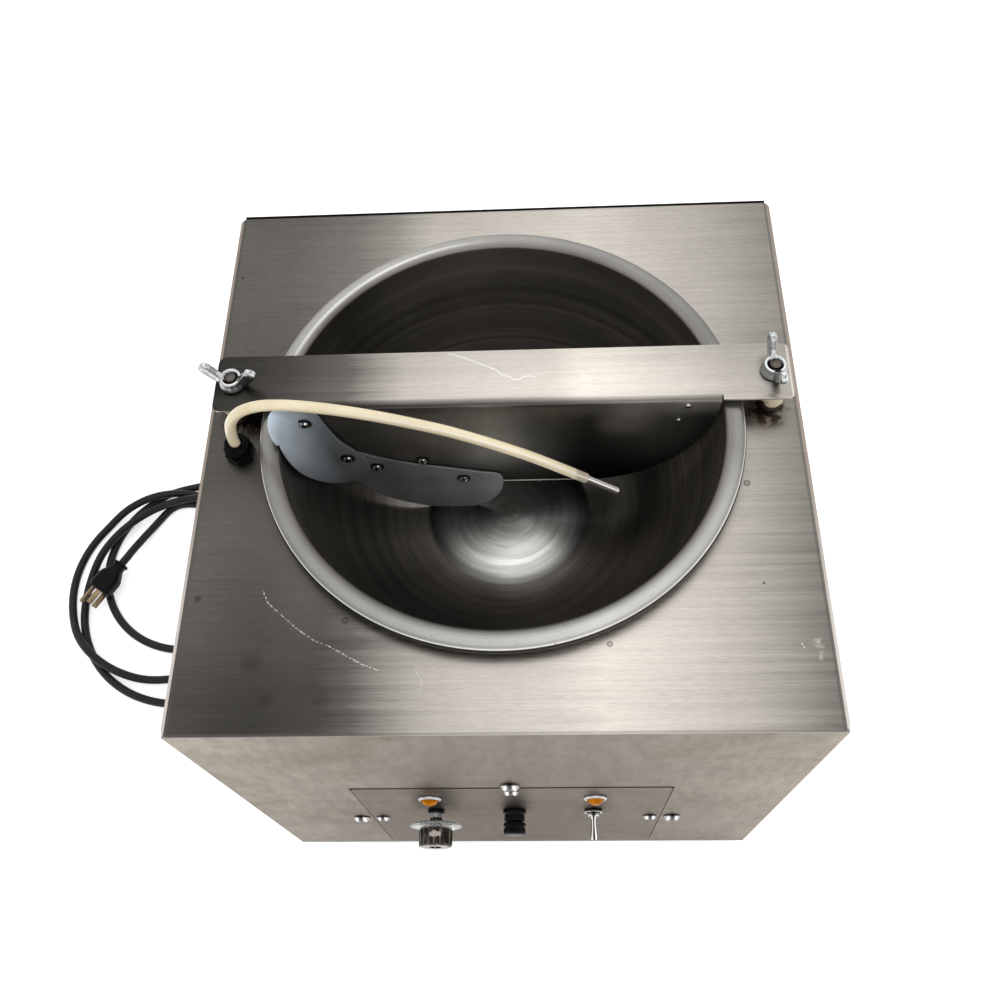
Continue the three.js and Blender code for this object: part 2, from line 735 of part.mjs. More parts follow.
function fan() {
  const low = panTop + seam;
  const high = low + fanDepth;
  const frame = prism(roundedOutline(fanSize, fanSize, overrun), fanDepth).translate(0, 0, low);
  const bore = rod(fanBore, low + fanSpider, high + overrun, 32);
  const throat = cut(rod(fanBore, low - overrun, low + fanSpider + seam, 32), rod(fanHubRadius, low - 2 * overrun, high, 24),
    block([-fanBore - overrun, fanBore + overrun], [-fanSpider, fanSpider], [low - 2 * overrun, high]),
    block([-fanSpider, fanSpider], [-fanBore - overrun, fanBore + overrun], [low - 2 * overrun, high]));
  const body = cut(frame, bore, throat);
  const bladeLow = low + fanSpider + seam;
  const hub = rod(fanHubRadius, bladeLow, high - seam, 24);
  const bladeReach = fanBore - 2;
  const bladeHeight = fanDepth - fanSpider - fanSpider;
  const blades = [];
  for (let i = 0; i < fanBladeCount; i += 1) {
    const blade = block([fanHubRadius - fanSpider, bladeReach], [-fanBladeThickness / 2, fanBladeThickness / 2],
      [-bladeHeight / 2, bladeHeight / 2]);
    blade.rotateX(fanBladePitch).translate(0, 0, (bladeLow + high) / 2);
    blades.push(blade.rotateZ(i * 2 * Math.PI / fanBladeCount));
  }
  return [
    piece('fan_frame', body.translate(fanX, fanY, 0), black),
    piece('fan_rotor', join(hub, ...blades).translate(fanX, fanY, 0), black),
  ];
}

function controlBoard() {
  const low = panTop + seam;
  const boardLow = low + standoff;
  const boardHigh = boardLow + boardThickness;
  const [halfX, halfY] = [boardWidth / 2, boardDepth / 2];
  const parts = [block([-halfX, halfX], [-halfY, halfY], [boardLow, boardHigh])];
  for (const x of [-halfX + 2 * standoffRadius, halfX - 2 * standoffRadius]) {
    for (const y of [-halfY + 2 * standoffRadius, halfY - 2 * standoffRadius]) {
      parts.push(rod(standoffRadius, low, boardLow + boardThickness / 2, 8).translate(x, y, 0));
    }
  }
  const seat = boardLow + boardThickness / 2;
  parts.push(block([0, transformerSize], [0, transformerSize], [seat, boardHigh + transformerSize]));
  parts.push(block([-halfX + standoff, -standoff], [-halfY + standoff, 0], [seat, boardHigh + relayHeight]));
  parts.push(rod(standoff, seat, boardHigh + transformerSize / 2, 12).translate(transformerSize / 2, -transformerSize / 2, 0));
  return piece('control_board', join(...parts).translate(boardX, boardY, 0), board);
}

// Divider bridge, its clamps and the scraper blades

function divider() {
  const bend = new THREE.Shape();
  const low = rimZ - dividerDrop;
  bend.moveTo(bridgeBack, bridgeTop);
  bend.absarc(bridgeFront + bridgeBend, bridgeTop - bridgeBend, bridgeBend, Math.PI / 2, Math.PI);
  bend.lineTo(bridgeFront, low);
  bend.lineTo(bridgeFront + bridgeSheet, low);
  bend.absarc(bridgeFront + bridgeBend, bridgeTop - bridgeBend, bridgeBend - bridgeSheet, Math.PI, Math.PI / 2, true);
  bend.lineTo(bridgeBack, bridgeUnder);
  const folded = alongX(prism(bend, 2 * dividerReach)).translate(-dividerReach, 0, 0);
  const outline = [[-dividerReach, bridgeTop + overrun]];
  const arcSteps = 10;
  const curve = dividerReach - dividerFlat;
  for (let i = 0; i <= arcSteps; i += 1) {
    const angle = i * Math.PI / 2 / arcSteps;
    outline.push([-dividerFlat - curve * Math.cos(angle), rimZ - dividerDrop * Math.sin(angle)]);
  }
  for (let i = arcSteps; i >= 0; i -= 1) {
    const angle = i * Math.PI / 2 / arcSteps;
    outline.push([dividerFlat + curve * Math.cos(angle), rimZ - dividerDrop * Math.sin(angle)]);
  }
  outline.push([dividerReach, bridgeTop + overrun]);
  const mask = facingFront(prism(outlineOf(outline), bridgeWidth + 2 * overrun));
  mask.translate(0, bridgeBack + overrun, 0);
  const flat = prism(roundedOutline(bridgeLength, bridgeWidth, bridgeCornerRadius), bridgeSheet);
  flat.translate(0, (bridgeFront + bridgeBack) / 2, bridgeUnder);
  const middle = block([-dividerReach, dividerReach], [bridgeFront - overrun, bridgeBack + overrun],
    [bridgeUnder - overrun, bridgeTop + overrun]);
  const ears = cut(flat, middle);
  const holes = sides((side, sign) => rod(studRadius + 2 * seam, bridgeUnder - overrun, bridgeTop + overrun)
    .translate(sign * studX, studY, 0));
  return piece('divider', cut(join(common(folded, mask), ears), ...holes), steel);
}

function clamps() {
  const studLow = topZ - sheet - seam;
  return sides((side, sign) => {
    const place = (geometry) => geometry.translate(sign * studX, studY, 0);
    const stud = turned([[0, studLow - studHead], [studHeadRadius, studLow - studHead], [studHeadRadius, studLow],
      [studRadius, studLow], [studRadius, bridgeTop + studEndRise], [0, bridgeTop + studEndRise]], 16);
    const spacerLow = topZ + seam;
    const pad = prism(roundedOutline(spacerWidth, spacerLength, spacerWidth / 2 - seam), spacerHeight);
    const spacer = cut(pad.translate(0, 0, spacerLow),
      rod(studRadius + seam, spacerLow - overrun, spacerLow + spacerHeight + overrun));
    const turn = sign < 0 ? leftNutTurn : rightNutTurn;
    return [
      piece(`stud_${side}`, place(stud), zinc),
      piece(`spacer_${side}`, place(spacer), nylon),
      piece(`wing_nut_${side}`, place(wingNut().rotateZ(turn)), zinc),
    ];
  }).flat();
}

function wingNut() {
  const low = bridgeTop + seam;
  const hub = turned([[0, low], [nutBaseRadius, low], [nutBaseRadius, low + nutHeight / 4],
    [nutNeckRadius, low + nutHeight], [0, low + nutHeight]], 20);
  const wings = [-1, 1].map((sign) => {
    const wing = prism(roundedOutline(wingSpan / 2, wingWidth, wingWidth / 3), wingThickness);
    facingFront(wing).translate(0, wingThickness / 2, 0);
    const lean = Math.atan2(wingRise - wingWidth, wingSpan / 2);
    wing.rotateY(-lean).translate(wingSpan / 4, 0, (wingRise + wingWidth / 2) / 2);
    return sign < 0 ? wing.rotateZ(Math.PI).translate(0, 0, low) : wing.translate(0, 0, low);
  });
  const bore = rod(studRadius + seam, low - overrun, low + wingRise + overrun);
  return cut(join(hub, ...wings), bore);
}

// A blade is a sheet between an inner edge on the divider and an outer edge at the bowl wall.
// Each station holds shares of the mouth radius (x) and of the bowl depth (drop below the rim)
// for the inner and the outer edge, and the share of the flex that pushes the outer edge forward.
const upperBladeShares = [
  [-0.82, -0.018, -1.045, -0.02, 0.45],
  [-0.818, -0.004, -1.0, -0.014, 0.85],
  [-0.81, 0.035, -0.988, 0.03, 0.9],
  [-0.80, 0.11, -0.983, 0.115, 0.92],
  [-0.762, 0.24, -0.962, 0.31, 0.8],
  [-0.71, 0.36, -0.91, 0.52, 0.42],
  [-0.668, 0.465, -0.82, 0.655, 0.1],
  [-0.67, 0.55, -0.735, 0.645, 0.05],
];
const lowerBladeShares = [
  [-0.655, 0.43, -0.765, 0.66, 0.1],
  [-0.6, 0.455, -0.69, 0.8, 0.3],
  [-0.5, 0.495, -0.53, 0.915, 0.6],
  [-0.37, 0.54, -0.37, 0.98, 1],
  [-0.22, 0.585, -0.2, 0.98, 1],
  [-0.09, 0.63, -0.08, 0.925, 0.6],
  [-0.025, 0.675, -0.02, 0.79, 0.2],
];

function bladeSheet(stationShares, backPlane, flex) {
  const columns = 4;
  const rows = stationShares.map(([innerX, innerDrop, outerX, outerDrop, push]) => {
    const row = [];
    for (let i = 0; i <= columns; i += 1) {
      const t = i / columns;
      row.push(new THREE.Vector3(
        mouthRadius * THREE.MathUtils.lerp(innerX, outerX, t),
        backPlane - flex * push * t * t,
        rimZ - bowlDepth * THREE.MathUtils.lerp(innerDrop, outerDrop, t)));
    }
    return row;
  });
  return thickened(rows, new THREE.Vector3(0, -bladeThickness, 0));
}

// Closes a grid of points into a sheet as thick as the shift
function thickened(rows, shift) {
  const [count, width] = [rows.length, rows[0].length];
  const flat = rows.flat();
  const points = [...flat, ...flat.map((point) => point.clone().add(shift))];
  const at = (i, j, layer) => i * width + j + layer * flat.length;
  const index = [];
  const quad = (a, b, c, d) => index.push(a, b, c, a, c, d);
  for (let i = 0; i + 1 < count; i += 1) {
    for (let j = 0; j + 1 < width; j += 1) {
      quad(at(i, j, 0), at(i + 1, j, 0), at(i + 1, j + 1, 0), at(i, j + 1, 0));
      quad(at(i, j, 1), at(i, j + 1, 1), at(i + 1, j + 1, 1), at(i + 1, j, 1));
    }
    quad(at(i, 0, 0), at(i, 0, 1), at(i + 1, 0, 1), at(i + 1, 0, 0));
    quad(at(i, width - 1, 0), at(i + 1, width - 1, 0), at(i + 1, width - 1, 1), at(i, width - 1, 1));
  }
  for (let j = 0; j + 1 < width; j += 1) {
    quad(at(0, j, 0), at(0, j + 1, 0), at(0, j + 1, 1), at(0, j, 1));
    quad(at(count - 1, j, 0), at(count - 1, j, 1), at(count - 1, j + 1, 1), at(count - 1, j + 1, 0));
  }
  const geometry = new THREE.BufferGeometry().setFromPoints(points);
  geometry.setIndex(index);
  return geometry;
}

function scraperBlades() {
  const lowerPlane = bridgeFront - seam;
  const upperPlane = lowerPlane - bladeThickness - seam;
  return [
    piece('scraper_blade_upper', bladeSheet(upperBladeShares, upperPlane, bladeFlex), milky),
    piece('scraper_blade_lower', bladeSheet(lowerBladeShares, lowerPlane, lowerBladeFlex), milky),
  ];
}

// Probe: stations are shares of the reach from the gland and of the crest above the top panel
const probePathShares = [
  [0, 0.16], [0, 0.36], [0.017, 0.65], [0.056, 0.86], [0.112, 0.965], [0.165, 0.978], [0.215, 0.958],
  [0.284, 0.898], [0.361, 0.808], [0.438, 0.697], [0.516, 0.566], [0.595, 0.42], [0.6745, 0.241],
  [0.756, 0.034], [0.841, -0.202], [0.92, -0.455], [1, -0.72],
];

function probePath() {
  return probePathShares.map(([reach, rise]) => new THREE.Vector3(
    glandX + probeReach * reach, glandY, topZ + probeCrest * rise));
}

function probe() {
  const place = (geometry) => geometry.translate(glandX, glandY, 0);
  const bore = sleeveRadius + seam;
  const bodyLow = topZ + seam;
  const bodyTop = bodyLow + glandBodyHeight;
  const body = cut(join(hexagon(glandHexRadius, bodyLow, bodyTop), rod(glandTailRadius, topZ - glandTail, bodyTop)),
    rod(bore, topZ - glandTail - overrun, bodyTop + overrun));
  const nutLow = bodyTop + seam;
  const nutTop = nutLow + glandNutHeight;
  const nut = turned([[bore, nutLow], [glandNutRadius, nutLow], [glandNutRadius, nutLow + glandNutHeight / 2],
    [glandNutTopRadius, nutTop], [bore, nutTop]], 20);
  const path = probePath();
  const sleeve = tube(path, sleeveRadius, 8, 36);
  const end = path[path.length - 1];
  const heading = end.clone().sub(path[path.length - 2]).normalize();
  const tip = turned([[0, 0], [tipRadius, 0], [tipRadius, tipLength - tipRadius / 2],
    [tipRadius / 2, tipLength], [0, tipLength]], 12);
  tip.applyQuaternion(new THREE.Quaternion().setFromUnitVectors(new THREE.Vector3(0, 0, 1), heading));
  const seat = end.clone().addScaledVector(heading, seam);
  tip.translate(seat.x, seat.y, seat.z);
  return [
    piece('probe_gland', place(body), black),
    piece('probe_gland_nut', place(nut), black),
    piece('probe_sleeve', sleeve, sleeveCream),
    piece('probe_tip', tip, zinc),
  ];
}

// Power cord: strain relief, lead, three loose loops, tail and plug on the standing surface

// Each loop is a circle, [centre x, centre y, radius]; one runs into the next behind the cabinet edge
const coilLoops = [[-347, 85, 96], [-371, 63, 106], [-346, 47, 115], [-352, 64, 85]];
const coilStart = 95;
const coilEnd = 1145;
const loopTop = 90;
const changeStart = [185, 185, 185];
const changeEnd = [350, 350, 300];
// Where a strand crosses over another: first and last angle at full lift, and the length of the ramp
const coilLifts = [[464, 474, 30], [584, 592, 34], [800, 866, 36], [1045, 1098, 17]];

const leadRoute = [
  [-140.5, 256, 40], [-143, 270, 34.5], [-149, 283, 26.5], [-159, 294, 18],
  [-173, 301, 10.5], [-190, 302, 5.8], [-208, 297, 4.25], [-225, 287, 4.25], [-241, 274, 4.25],
  [-256, 259, 4.25], [-270, 244, 4.25], [-284, 228, 4.25], [-298, 212, 4.25], [-310.5, 199, 4.25],
  [-324, 188.5, 4.25],
];
const tailRoute = [
  [-345, 155.4, 4.25], [-360.5, 158.4, 4.25], [-373, 158.4, 4.25], [-382.5, 155, 4.25],
  [-389.5, 148.7, 4.25], [-395.3, 140.3, 4.6], [-401.9, 129.2, 5.9], [-407.6, 118, 8.8], [-411.6, 107.8, 12.5],
  [-415.2, 98, 16.2], [-419, 88.6, 18.5], [-423.4, 81.5, 18.5],
];

function coilPoint(degrees) {
  const turn = Math.min(Math.floor((degrees - loopTop) / 360), coilLoops.length - 1);
  const past = degrees - loopTop - 360 * turn;
  const from = coilLoops[turn];
  const to = coilLoops[Math.min(turn + 1, coilLoops.length - 1)];
  const last = turn === coilLoops.length - 1;
  const blend = last ? 0 : THREE.MathUtils.smoothstep(past, changeStart[turn], changeEnd[turn]);
  const [x, y, radius] = from.map((value, i) => THREE.MathUtils.lerp(value, to[i], blend));
  const angle = THREE.MathUtils.degToRad(degrees);
  const lift = Math.max(...coilLifts.map(([low, high, ramp]) => {
    const away = Math.max(low - degrees, degrees - high, 0) / ramp;
    return away < 1 ? Math.cos(away * Math.PI / 2) ** 2 : 0;
  }));
  const z = cordRadius + cordLift + lift * (2 * cordRadius + cordGap);
  return new THREE.Vector3(x + radius * Math.cos(angle), y + radius * Math.sin(angle), z);
}

function coilPath() {
  const points = [];
  const steps = Math.round((coilEnd - coilStart) / 360 * coilSteps);
  for (let i = 0; i <= steps; i += 1) {
    points.push(coilPoint(coilStart + (coilEnd - coilStart) * i / steps));
  }
  return points;
}

// The least gap between stretches of the coil that lie further apart along it than the skip
function leastGap(points, skip) {
  const fine = new THREE.CatmullRomCurve3(points, false, 'centripetal').getSpacedPoints(points.length * 8);
  const step = fine[0].distanceTo(fine[1]);
  let least = Infinity;
  for (let i = 0; i < fine.length; i += 1) {
    for (let j = i + Math.ceil(skip / step); j < fine.length; j += 1) {
      least = Math.min(least, fine[i].distanceTo(fine[j]) - 2 * cordRadius);
    }
  }
  return least;
}

function straightEnds(points) {
  const extend = (end, next) => end.clone().addScaledVector(end.clone().sub(next).normalize(), 2 * cordRadius);
  const last = points.length - 1;
  return [extend(points[0], points[1]), ...points, extend(points[last], points[last - 1])];
}

// Two points that leave the coil's end straight, for one cord diameter
function meeting(end, next) {
  const away = end.clone().sub(next).normalize();
  return [seam, seam + 2 * cordRadius].map((gap) => end.clone().addScaledVector(away, gap));
}

function cord() {
  const coil = straightEnds(coilPath());
  const asPoints = (route) => route.map(([x, y, z]) => new THREE.Vector3(x, y, z));
  const last = coil.length - 1;
  const exit = [0, 2 * cordRadius].map((reach) => [exitX, backY + reliefLength + seam + reach, exitHeight]);
  const lead = [...asPoints([...exit, ...leadRoute]), ...meeting(coil[0], coil[1]).reverse()];
  const tail = [...meeting(coil[last], coil[last - 1]), ...asPoints(tailRoute)];
  console.log(`least gap of the coil to itself ${leastGap(coil, 5 * cordRadius).toFixed(2)} mm`);
  return [
    strainRelief(),
    piece('cord_lead', tube(lead, cordRadius, leadSides, 34), rubber),
    piece('cord_coil', tube(coil, cordRadius, coilSides, coil.length), rubber),
    piece('cord_tail', tube(tail, cordRadius, leadSides, 14), rubber),
    plug(tail),
  ];
}

function strainRelief() {
  const profile = [[cordRadius + seam, -sheet - reliefShank], [reliefRadius, -sheet - reliefShank],
    [reliefRadius, seam], [reliefFlangeRadius, seam], [reliefFlangeRadius, seam + reliefFlange],
    [reliefRadius, seam + reliefFlange], [cordRadius + sheet, reliefLength], [0, reliefLength],
    [0, reliefLength - reliefFlange], [cordRadius + seam, reliefLength - reliefFlange]];
  const relief = turned(profile, 16).rotateX(-Math.PI / 2);
  return piece('strain_relief', relief.translate(exitX, backY, exitHeight), black);
}

// The plug lies along the tail's last heading, the ground pin towards the cabinet's far side.
// Its outline from above: share of the body length, share of the body's half width
const plugOutlineShares = [[0, 0.6], [0.09, 0.6], [0.13, 0.5], [0.28, 0.62], [0.58, 1], [1, 0.94]];

function plug(tail) {
  const end = tail[tail.length - 1];
  const heading = end.clone().sub(tail[tail.length - 2]).normalize();
  const edge = plugOutlineShares.map(([along, out]) => [plugLength * along, plugWidth / 2 * out]);
  const mirrored = [...edge].reverse().map(([along, out]) => [along, -out]);
  const body = prism(outlineOf([...mirrored, ...edge]), plugHeight).translate(0, 0, -plugHeight / 2);
  const face = plugLength - seam;
  const prongs = [-1, 1].map((sign) => block([face, plugLength + prongLength],
    [prongOffset - prongWidth / 2, prongOffset + prongWidth / 2],
    [sign * prongSpacing / 2 - prongThickness / 2, sign * prongSpacing / 2 + prongThickness / 2]));
  const pin = rod(groundPinRadius, face, plugLength + groundPinLength, 12).rotateY(Math.PI / 2);
  pin.translate(0, prongOffset - groundPinSpacing, 0);
  const whole = join(body, ...prongs, pin);
  whole.applyQuaternion(new THREE.Quaternion().setFromUnitVectors(new THREE.Vector3(1, 0, 0), heading));
  const seat = end.clone().addScaledVector(heading, seam);
  return piece('plug', whole.translate(seat.x, seat.y, seat.z), black);
}

// The origin lies under the middle of the object without its cord, so the cabinet stands back
// by half of what the knob reaches in front of it
const unit = new THREE.Group();
unit.position.y = knobReach / 2;
unit.add(
  topPanel(), frontPanel(), ...sides(sidePanel), backPanel(), basePan(), ...feet(),
  controlPlate(), ...plateStraps(), ...lamps(), ...temperatureControl(), ...fuseHolder(), ...toggleSwitch(),
  bowl(), ...drive(), ...heater(), ...fan(), controlBoard(),
  divider(), ...clamps(), ...scraperBlades(), ...probe(), ...cord(),
);

export default new THREE.Group().add(unit);
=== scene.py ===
"""Looks of a table-top chocolate melting unit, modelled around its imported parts."""

import itertools
import json
import math

import bmesh
import bpy
from mathutils import Matrix, Vector


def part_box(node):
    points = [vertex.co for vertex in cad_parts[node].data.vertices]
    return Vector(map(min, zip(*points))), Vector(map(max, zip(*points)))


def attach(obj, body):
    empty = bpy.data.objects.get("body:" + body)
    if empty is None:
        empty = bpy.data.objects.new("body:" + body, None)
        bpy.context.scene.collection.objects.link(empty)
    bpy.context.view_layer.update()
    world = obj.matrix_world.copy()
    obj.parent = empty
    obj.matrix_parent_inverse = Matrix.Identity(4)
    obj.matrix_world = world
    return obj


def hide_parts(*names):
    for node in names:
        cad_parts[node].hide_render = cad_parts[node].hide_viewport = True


bl_info = {"name": "Chocolate melting unit", "version": (1, 0, 0), "blender": (4, 5, 0),
           "location": "View3D > Sidebar > Melting unit",
           "description": "Models the melting unit's looks around its packed parts",
           "category": "Add Mesh",}

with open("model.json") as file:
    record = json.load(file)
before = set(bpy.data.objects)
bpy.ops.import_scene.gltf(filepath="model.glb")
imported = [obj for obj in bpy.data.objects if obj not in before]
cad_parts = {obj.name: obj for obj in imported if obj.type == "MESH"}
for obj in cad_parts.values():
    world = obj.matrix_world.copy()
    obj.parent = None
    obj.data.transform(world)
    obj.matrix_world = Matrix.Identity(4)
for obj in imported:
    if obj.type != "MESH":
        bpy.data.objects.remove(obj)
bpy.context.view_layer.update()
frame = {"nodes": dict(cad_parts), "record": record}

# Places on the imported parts, in metres
TOP_LOW, TOP_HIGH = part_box("top_panel")
BOWL_LOW, BOWL_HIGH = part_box("bowl")
PLATE_LOW, PLATE_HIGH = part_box("control_plate")
BRIDGE_LOW, BRIDGE_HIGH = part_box("divider")
FRONT_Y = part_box("front_panel")[0].y
BACK_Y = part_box("back_panel")[1].y
LEFT_X = TOP_LOW.x
TOP_Z = TOP_HIGH.z
BOWL_X = (BOWL_LOW.x + BOWL_HIGH.x) / 2
BOWL_Y = (BOWL_LOW.y + BOWL_HIGH.y) / 2
RIM_Z = BOWL_HIGH.z
FORWARD = Matrix.Rotation(math.radians(90), 4, "X")
EYE = Vector((0.02964, -0.3409, 0.98611))
# Tints that turn a brightness into a colour
STEEL_TINT = (1.0, 0.93, 0.84)
GREY = (1, 1, 1)
# Sizes in metres, and the smallest area of a face that stays flat
BOWL_MOUTH = 0.149
STUD_RADIUS = 0.00397
THREAD_PITCH = 0.001411
THREAD_DEPTH = 0.00045
BLADE_THICKNESS = 0.0014
BLADE_GRID = 0.003
CUT_EDGE = 0.0003
BROAD_FLAT = 0.0004


def middle(node):
    low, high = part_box(node)
    return (low + high) / 2


# Materials


class Nodes:
    """A tree of shader nodes, put together one step at a time."""

    def __init__(self, tree):
        self.nodes, self.links = tree.nodes, tree.links
        self.object_place = None

    def feed(self, socket, value):
        if isinstance(value, bpy.types.NodeSocket):
            self.links.new(value, socket)
        elif socket.type == "RGBA" and len(value) == 3:
            socket.default_value = (*value, 1)
        else:
            socket.default_value = value

    def add(self, kind, inputs, **settings):
        node = self.nodes.new("ShaderNode" + kind)
        for key, value in settings.items():
            setattr(node, key, value)
        for key, value in inputs.items():
            self.feed(node.inputs[key], value)
        return node

    def place(self, scale=(1, 1, 1), centre=(0, 0, 0)):
        """The object's own coordinates from a centre, stretched."""
        if not self.object_place:
            self.object_place = self.add("TexCoord", {}).outputs["Object"]
        shift = tuple(-middle * stretch for middle, stretch in zip(centre, scale))
        inputs = {"Vector": self.object_place, "Location": shift, "Scale": scale}
        return self.add("Mapping", inputs).outputs["Vector"]

    def vector(self, operation, a, b=(0, 0, 0)):
        node = self.add("VectorMath", {0: a, 1: b}, operation=operation)
        values = ("DISTANCE", "LENGTH", "DOT_PRODUCT")
        return node.outputs["Value" if operation in values else "Vector"]

    def math(self, operation, a, b=0.0):
        return self.add("Math", {0: a, 1: b}, operation=operation).outputs[0]

    def times(self, *values):
        product = values[0]
        for value in values[1:]:
            product = self.math("MULTIPLY", product, value)
        return product

    def plus(self, a, b):
        return self.math("ADD", a, b)

    def most(self, a, b):
        return self.math("MAXIMUM", a, b)

    def positive(self, value):
        return self.math("ABSOLUTE", value)

    def part(self, vector, axis):
        return self.add("SeparateXYZ", {0: vector}).outputs[axis]

    def along(self, axis):
        return self.part(self.place(), axis)

    def facing(self, axis):
        """How far the surface faces along an axis."""
        return self.part(self.add("NewGeometry", {}).outputs["Normal"], axis)

    def noise(self, vector, scale=1.0, detail=2.0, rough=0.5, warp=0.0):
        inputs = {"Vector": vector, "Scale": scale, "Detail": detail, "Roughness": rough,
                  "Distortion": warp}
        return self.add("TexNoise", inputs).outputs["Fac"]

    def cells(self, vector, scale):
        return self.add("TexVoronoi", {"Vector": vector, "Scale": scale}).outputs["Distance"]

    def span(self, value, low, high, out_low=0.0, out_high=1.0):
        inputs = {"Value": value, "From Min": low, "From Max": high, "To Min": out_low, "To Max": out_high}
        return self.add("MapRange", inputs, interpolation_type="SMOOTHSTEP").outputs["Result"]

    def ramp(self, value, stops):
        node = self.add("ValToRGB", {0: value})
        band = node.color_ramp
        band.interpolation = "EASE"
        while len(band.elements) < len(stops):
            band.elements.new(0.5)
        for element, (position, shade) in zip(band.elements, stops):
            element.position = position
            element.color = (*shade, 1) if isinstance(shade, tuple) else (shade, shade, shade, 1)
        return node.outputs["Color"]

    def blend(self, share, a, b, kind="MIX"):
        node = self.add("Mix", {}, data_type="RGBA", blend_type=kind)
        for index, value in ((0, share), (6, a), (7, b)):
            self.feed(node.inputs[index], value)
        return node.outputs[2]

    def scaled(self, tone, value):
        return self.blend(1.0, tone, value, "MULTIPLY")

    def over(self, tone, shade, *shares):
        """Lays a shade over a tone, as far as the product of the shares says."""
        return self.blend(self.times(*shares), tone, shade)

    def band(self, value, low, full_low, full_high, high):
        """One between the two middle values, fading to nothing at the outer two."""
        return self.times(self.span(value, low, full_low), self.span(value, high, full_high))

    def seen(self):
        """One for what the camera sees, also in a mirror or through glass."""
        rays = self.add("LightPath", {}).outputs
        return self.most(rays["Is Camera Ray"], self.most(rays["Is Glossy Ray"],
                                                          rays["Is Transmission Ray"]))

    def spot(self, centre, inner, outer):
        """One inside a ball about the centre, nothing outside it."""
        away = self.vector("DISTANCE", self.place(), tuple(centre))
        return self.span(away, outer, inner)

    def scratch(self, start, end, width):
        """One along a straight line between two points, nothing beside it."""
        start, end = Vector(start), Vector(end)
        along = (end - start).normalized()
        local = self.place(centre=start)
        reach = self.vector("DOT_PRODUCT", local, tuple(along))
        node = self.add("VectorMath", {0: tuple(along)}, operation="SCALE")
        self.feed(node.inputs["Scale"], reach)
        aside = self.vector("LENGTH", self.vector("SUBTRACT", local, node.outputs[0]))
        inside = self.math("MULTIPLY", self.span(aside, width, width * 0.3),
                           self.span(reach, -width, width))
        length = (end - start).length
        return self.math("MULTIPLY", inside, self.span(reach, length + width, length - width))


class Finish(Nodes):
    """A material with one shader."""

    def __init__(self, name, **settings):
        self.material = bpy.data.materials.new(name)
        self.material.use_nodes = True
        super().__init__(self.material.node_tree)
        self.shader = self.nodes["Principled BSDF"]
        for socket, value in settings.items():
            self.set(socket.replace("_", " "), value)

    def set(self, socket, value):
        self.feed(self.shader.inputs[socket], value)

    def bump(self, height, distance, strength=1.0):
        inputs = {"Height": height, "Distance": distance, "Strength": strength}
        self.set("Normal", self.add("Bump", inputs).outputs["Normal"])


def stretched(grain, along, across):
    """Scales a pattern so that it runs along one axis as fine lines."""
    return tuple(along if axis == grain else across for axis in "XYZ")


def warm(value):
    """The slightly yellow grey of stainless steel at a brightness."""
    return tuple(value * part for part in STEEL_TINT)


def tones(steel, value, stops, tint=GREY):
    """A run of tinted greys along a value. Each stop is a place and its brightness."""
    low, high = stops[0][0], stops[-1][0]
    inputs = {"Value": value, "From Min": low, "From Max": high}
    share = steel.add("MapRange", inputs).outputs["Result"]
    color = steel.ramp(share, [((place - low) / (high - low), tuple(tone * part for part in tint))
                               for place, tone in stops])
    steel.nodes[-1].color_ramp.interpolation = "LINEAR"
    return color


# Painted reflection: brightness across the width of the work top, at its front and at its back
TOP_FRONT = (
    (-0.203, 0.066), (-0.17, 0.046), (-0.15, 0.042), (-0.11, 0.060), (-0.09, 0.108), (-0.07, 0.245),
    (-0.05, 0.37), (-0.02, 0.465), (0.03, 0.54), (0.065, 0.68), (0.10, 0.575), (0.15, 0.41), (0.203, 0.155))
TOP_BACK = (
    (-0.203, 0.125), (-0.16, 0.132), (-0.11, 0.180), (-0.08, 0.285), (-0.05, 0.48), (0.01, 0.53),
    (0.06, 0.63), (0.11, 0.49), (0.15, 0.43), (0.203, 0.27))
# Painted reflection: brightness across the width of the bridge's top
BRIDGE_TOP = (
    (-0.20, 0.042), (-0.17, 0.052), (-0.145, 0.072), (-0.105, 0.145), (-0.085, 0.34), (-0.065, 0.52),
    (-0.025, 0.60), (0.035, 0.655), (0.055, 0.80), (0.075, 0.76), (0.115, 0.63), (0.155, 0.47),
    (0.20, 0.40))
# Painted reflection and shade across the width of the hanging divider
DIVIDER_FACE = (
    (-0.15, 0.18), (-0.10, 0.14), (-0.06, 0.24), (-0.03, 0.41), (-0.01, 0.46), (0.0, 0.36), (0.02, 0.14),
    (0.04, 0.06), (0.06, 0.035), (0.08, 0.08), (0.105, 0.19), (0.125, 0.14), (0.14, 0.06))
# Painted reflection: brightness across the width of the front and of the control plate
FRONT_FACE = ((-0.203, 0.345), (-0.10, 0.275), (-0.03, 0.215), (0.06, 0.220), (0.12, 0.272), (0.203, 0.340))
PLATE_FACE = ((-0.12, 0.160), (-0.03, 0.125), (0.05, 0.148), (0.12, 0.162))
DULL_EDGE = (0.87, 0.81, 0.75)
FRONT_DOWN = ((0.02, 0.74), (0.15, 0.81), (0.30, 0.91), (0.39, 1.02))
# Painted shade and reflection up the hanging divider: dark at its bottom, brightest just below the bridge
DIVIDER_UP = (
    (0.315, 0.07), (0.325, 0.10), (0.335, 0.20), (0.345, 0.38), (0.355, 0.58), (0.375, 0.86), (0.395, 1.0),
    (0.405, 0.88), (0.414, 0.62))
# Painted shade: the bridge darkens towards its rolled front fold
BRIDGE_BACK = (
    (0.0270, 0.10), (0.0285, 0.13), (0.0300, 0.26), (0.0320, 0.55), (0.0337, 0.95), (0.0360, 1.0),
    (0.0450, 1.0), (0.0600, 0.91), (0.0715, 0.84))
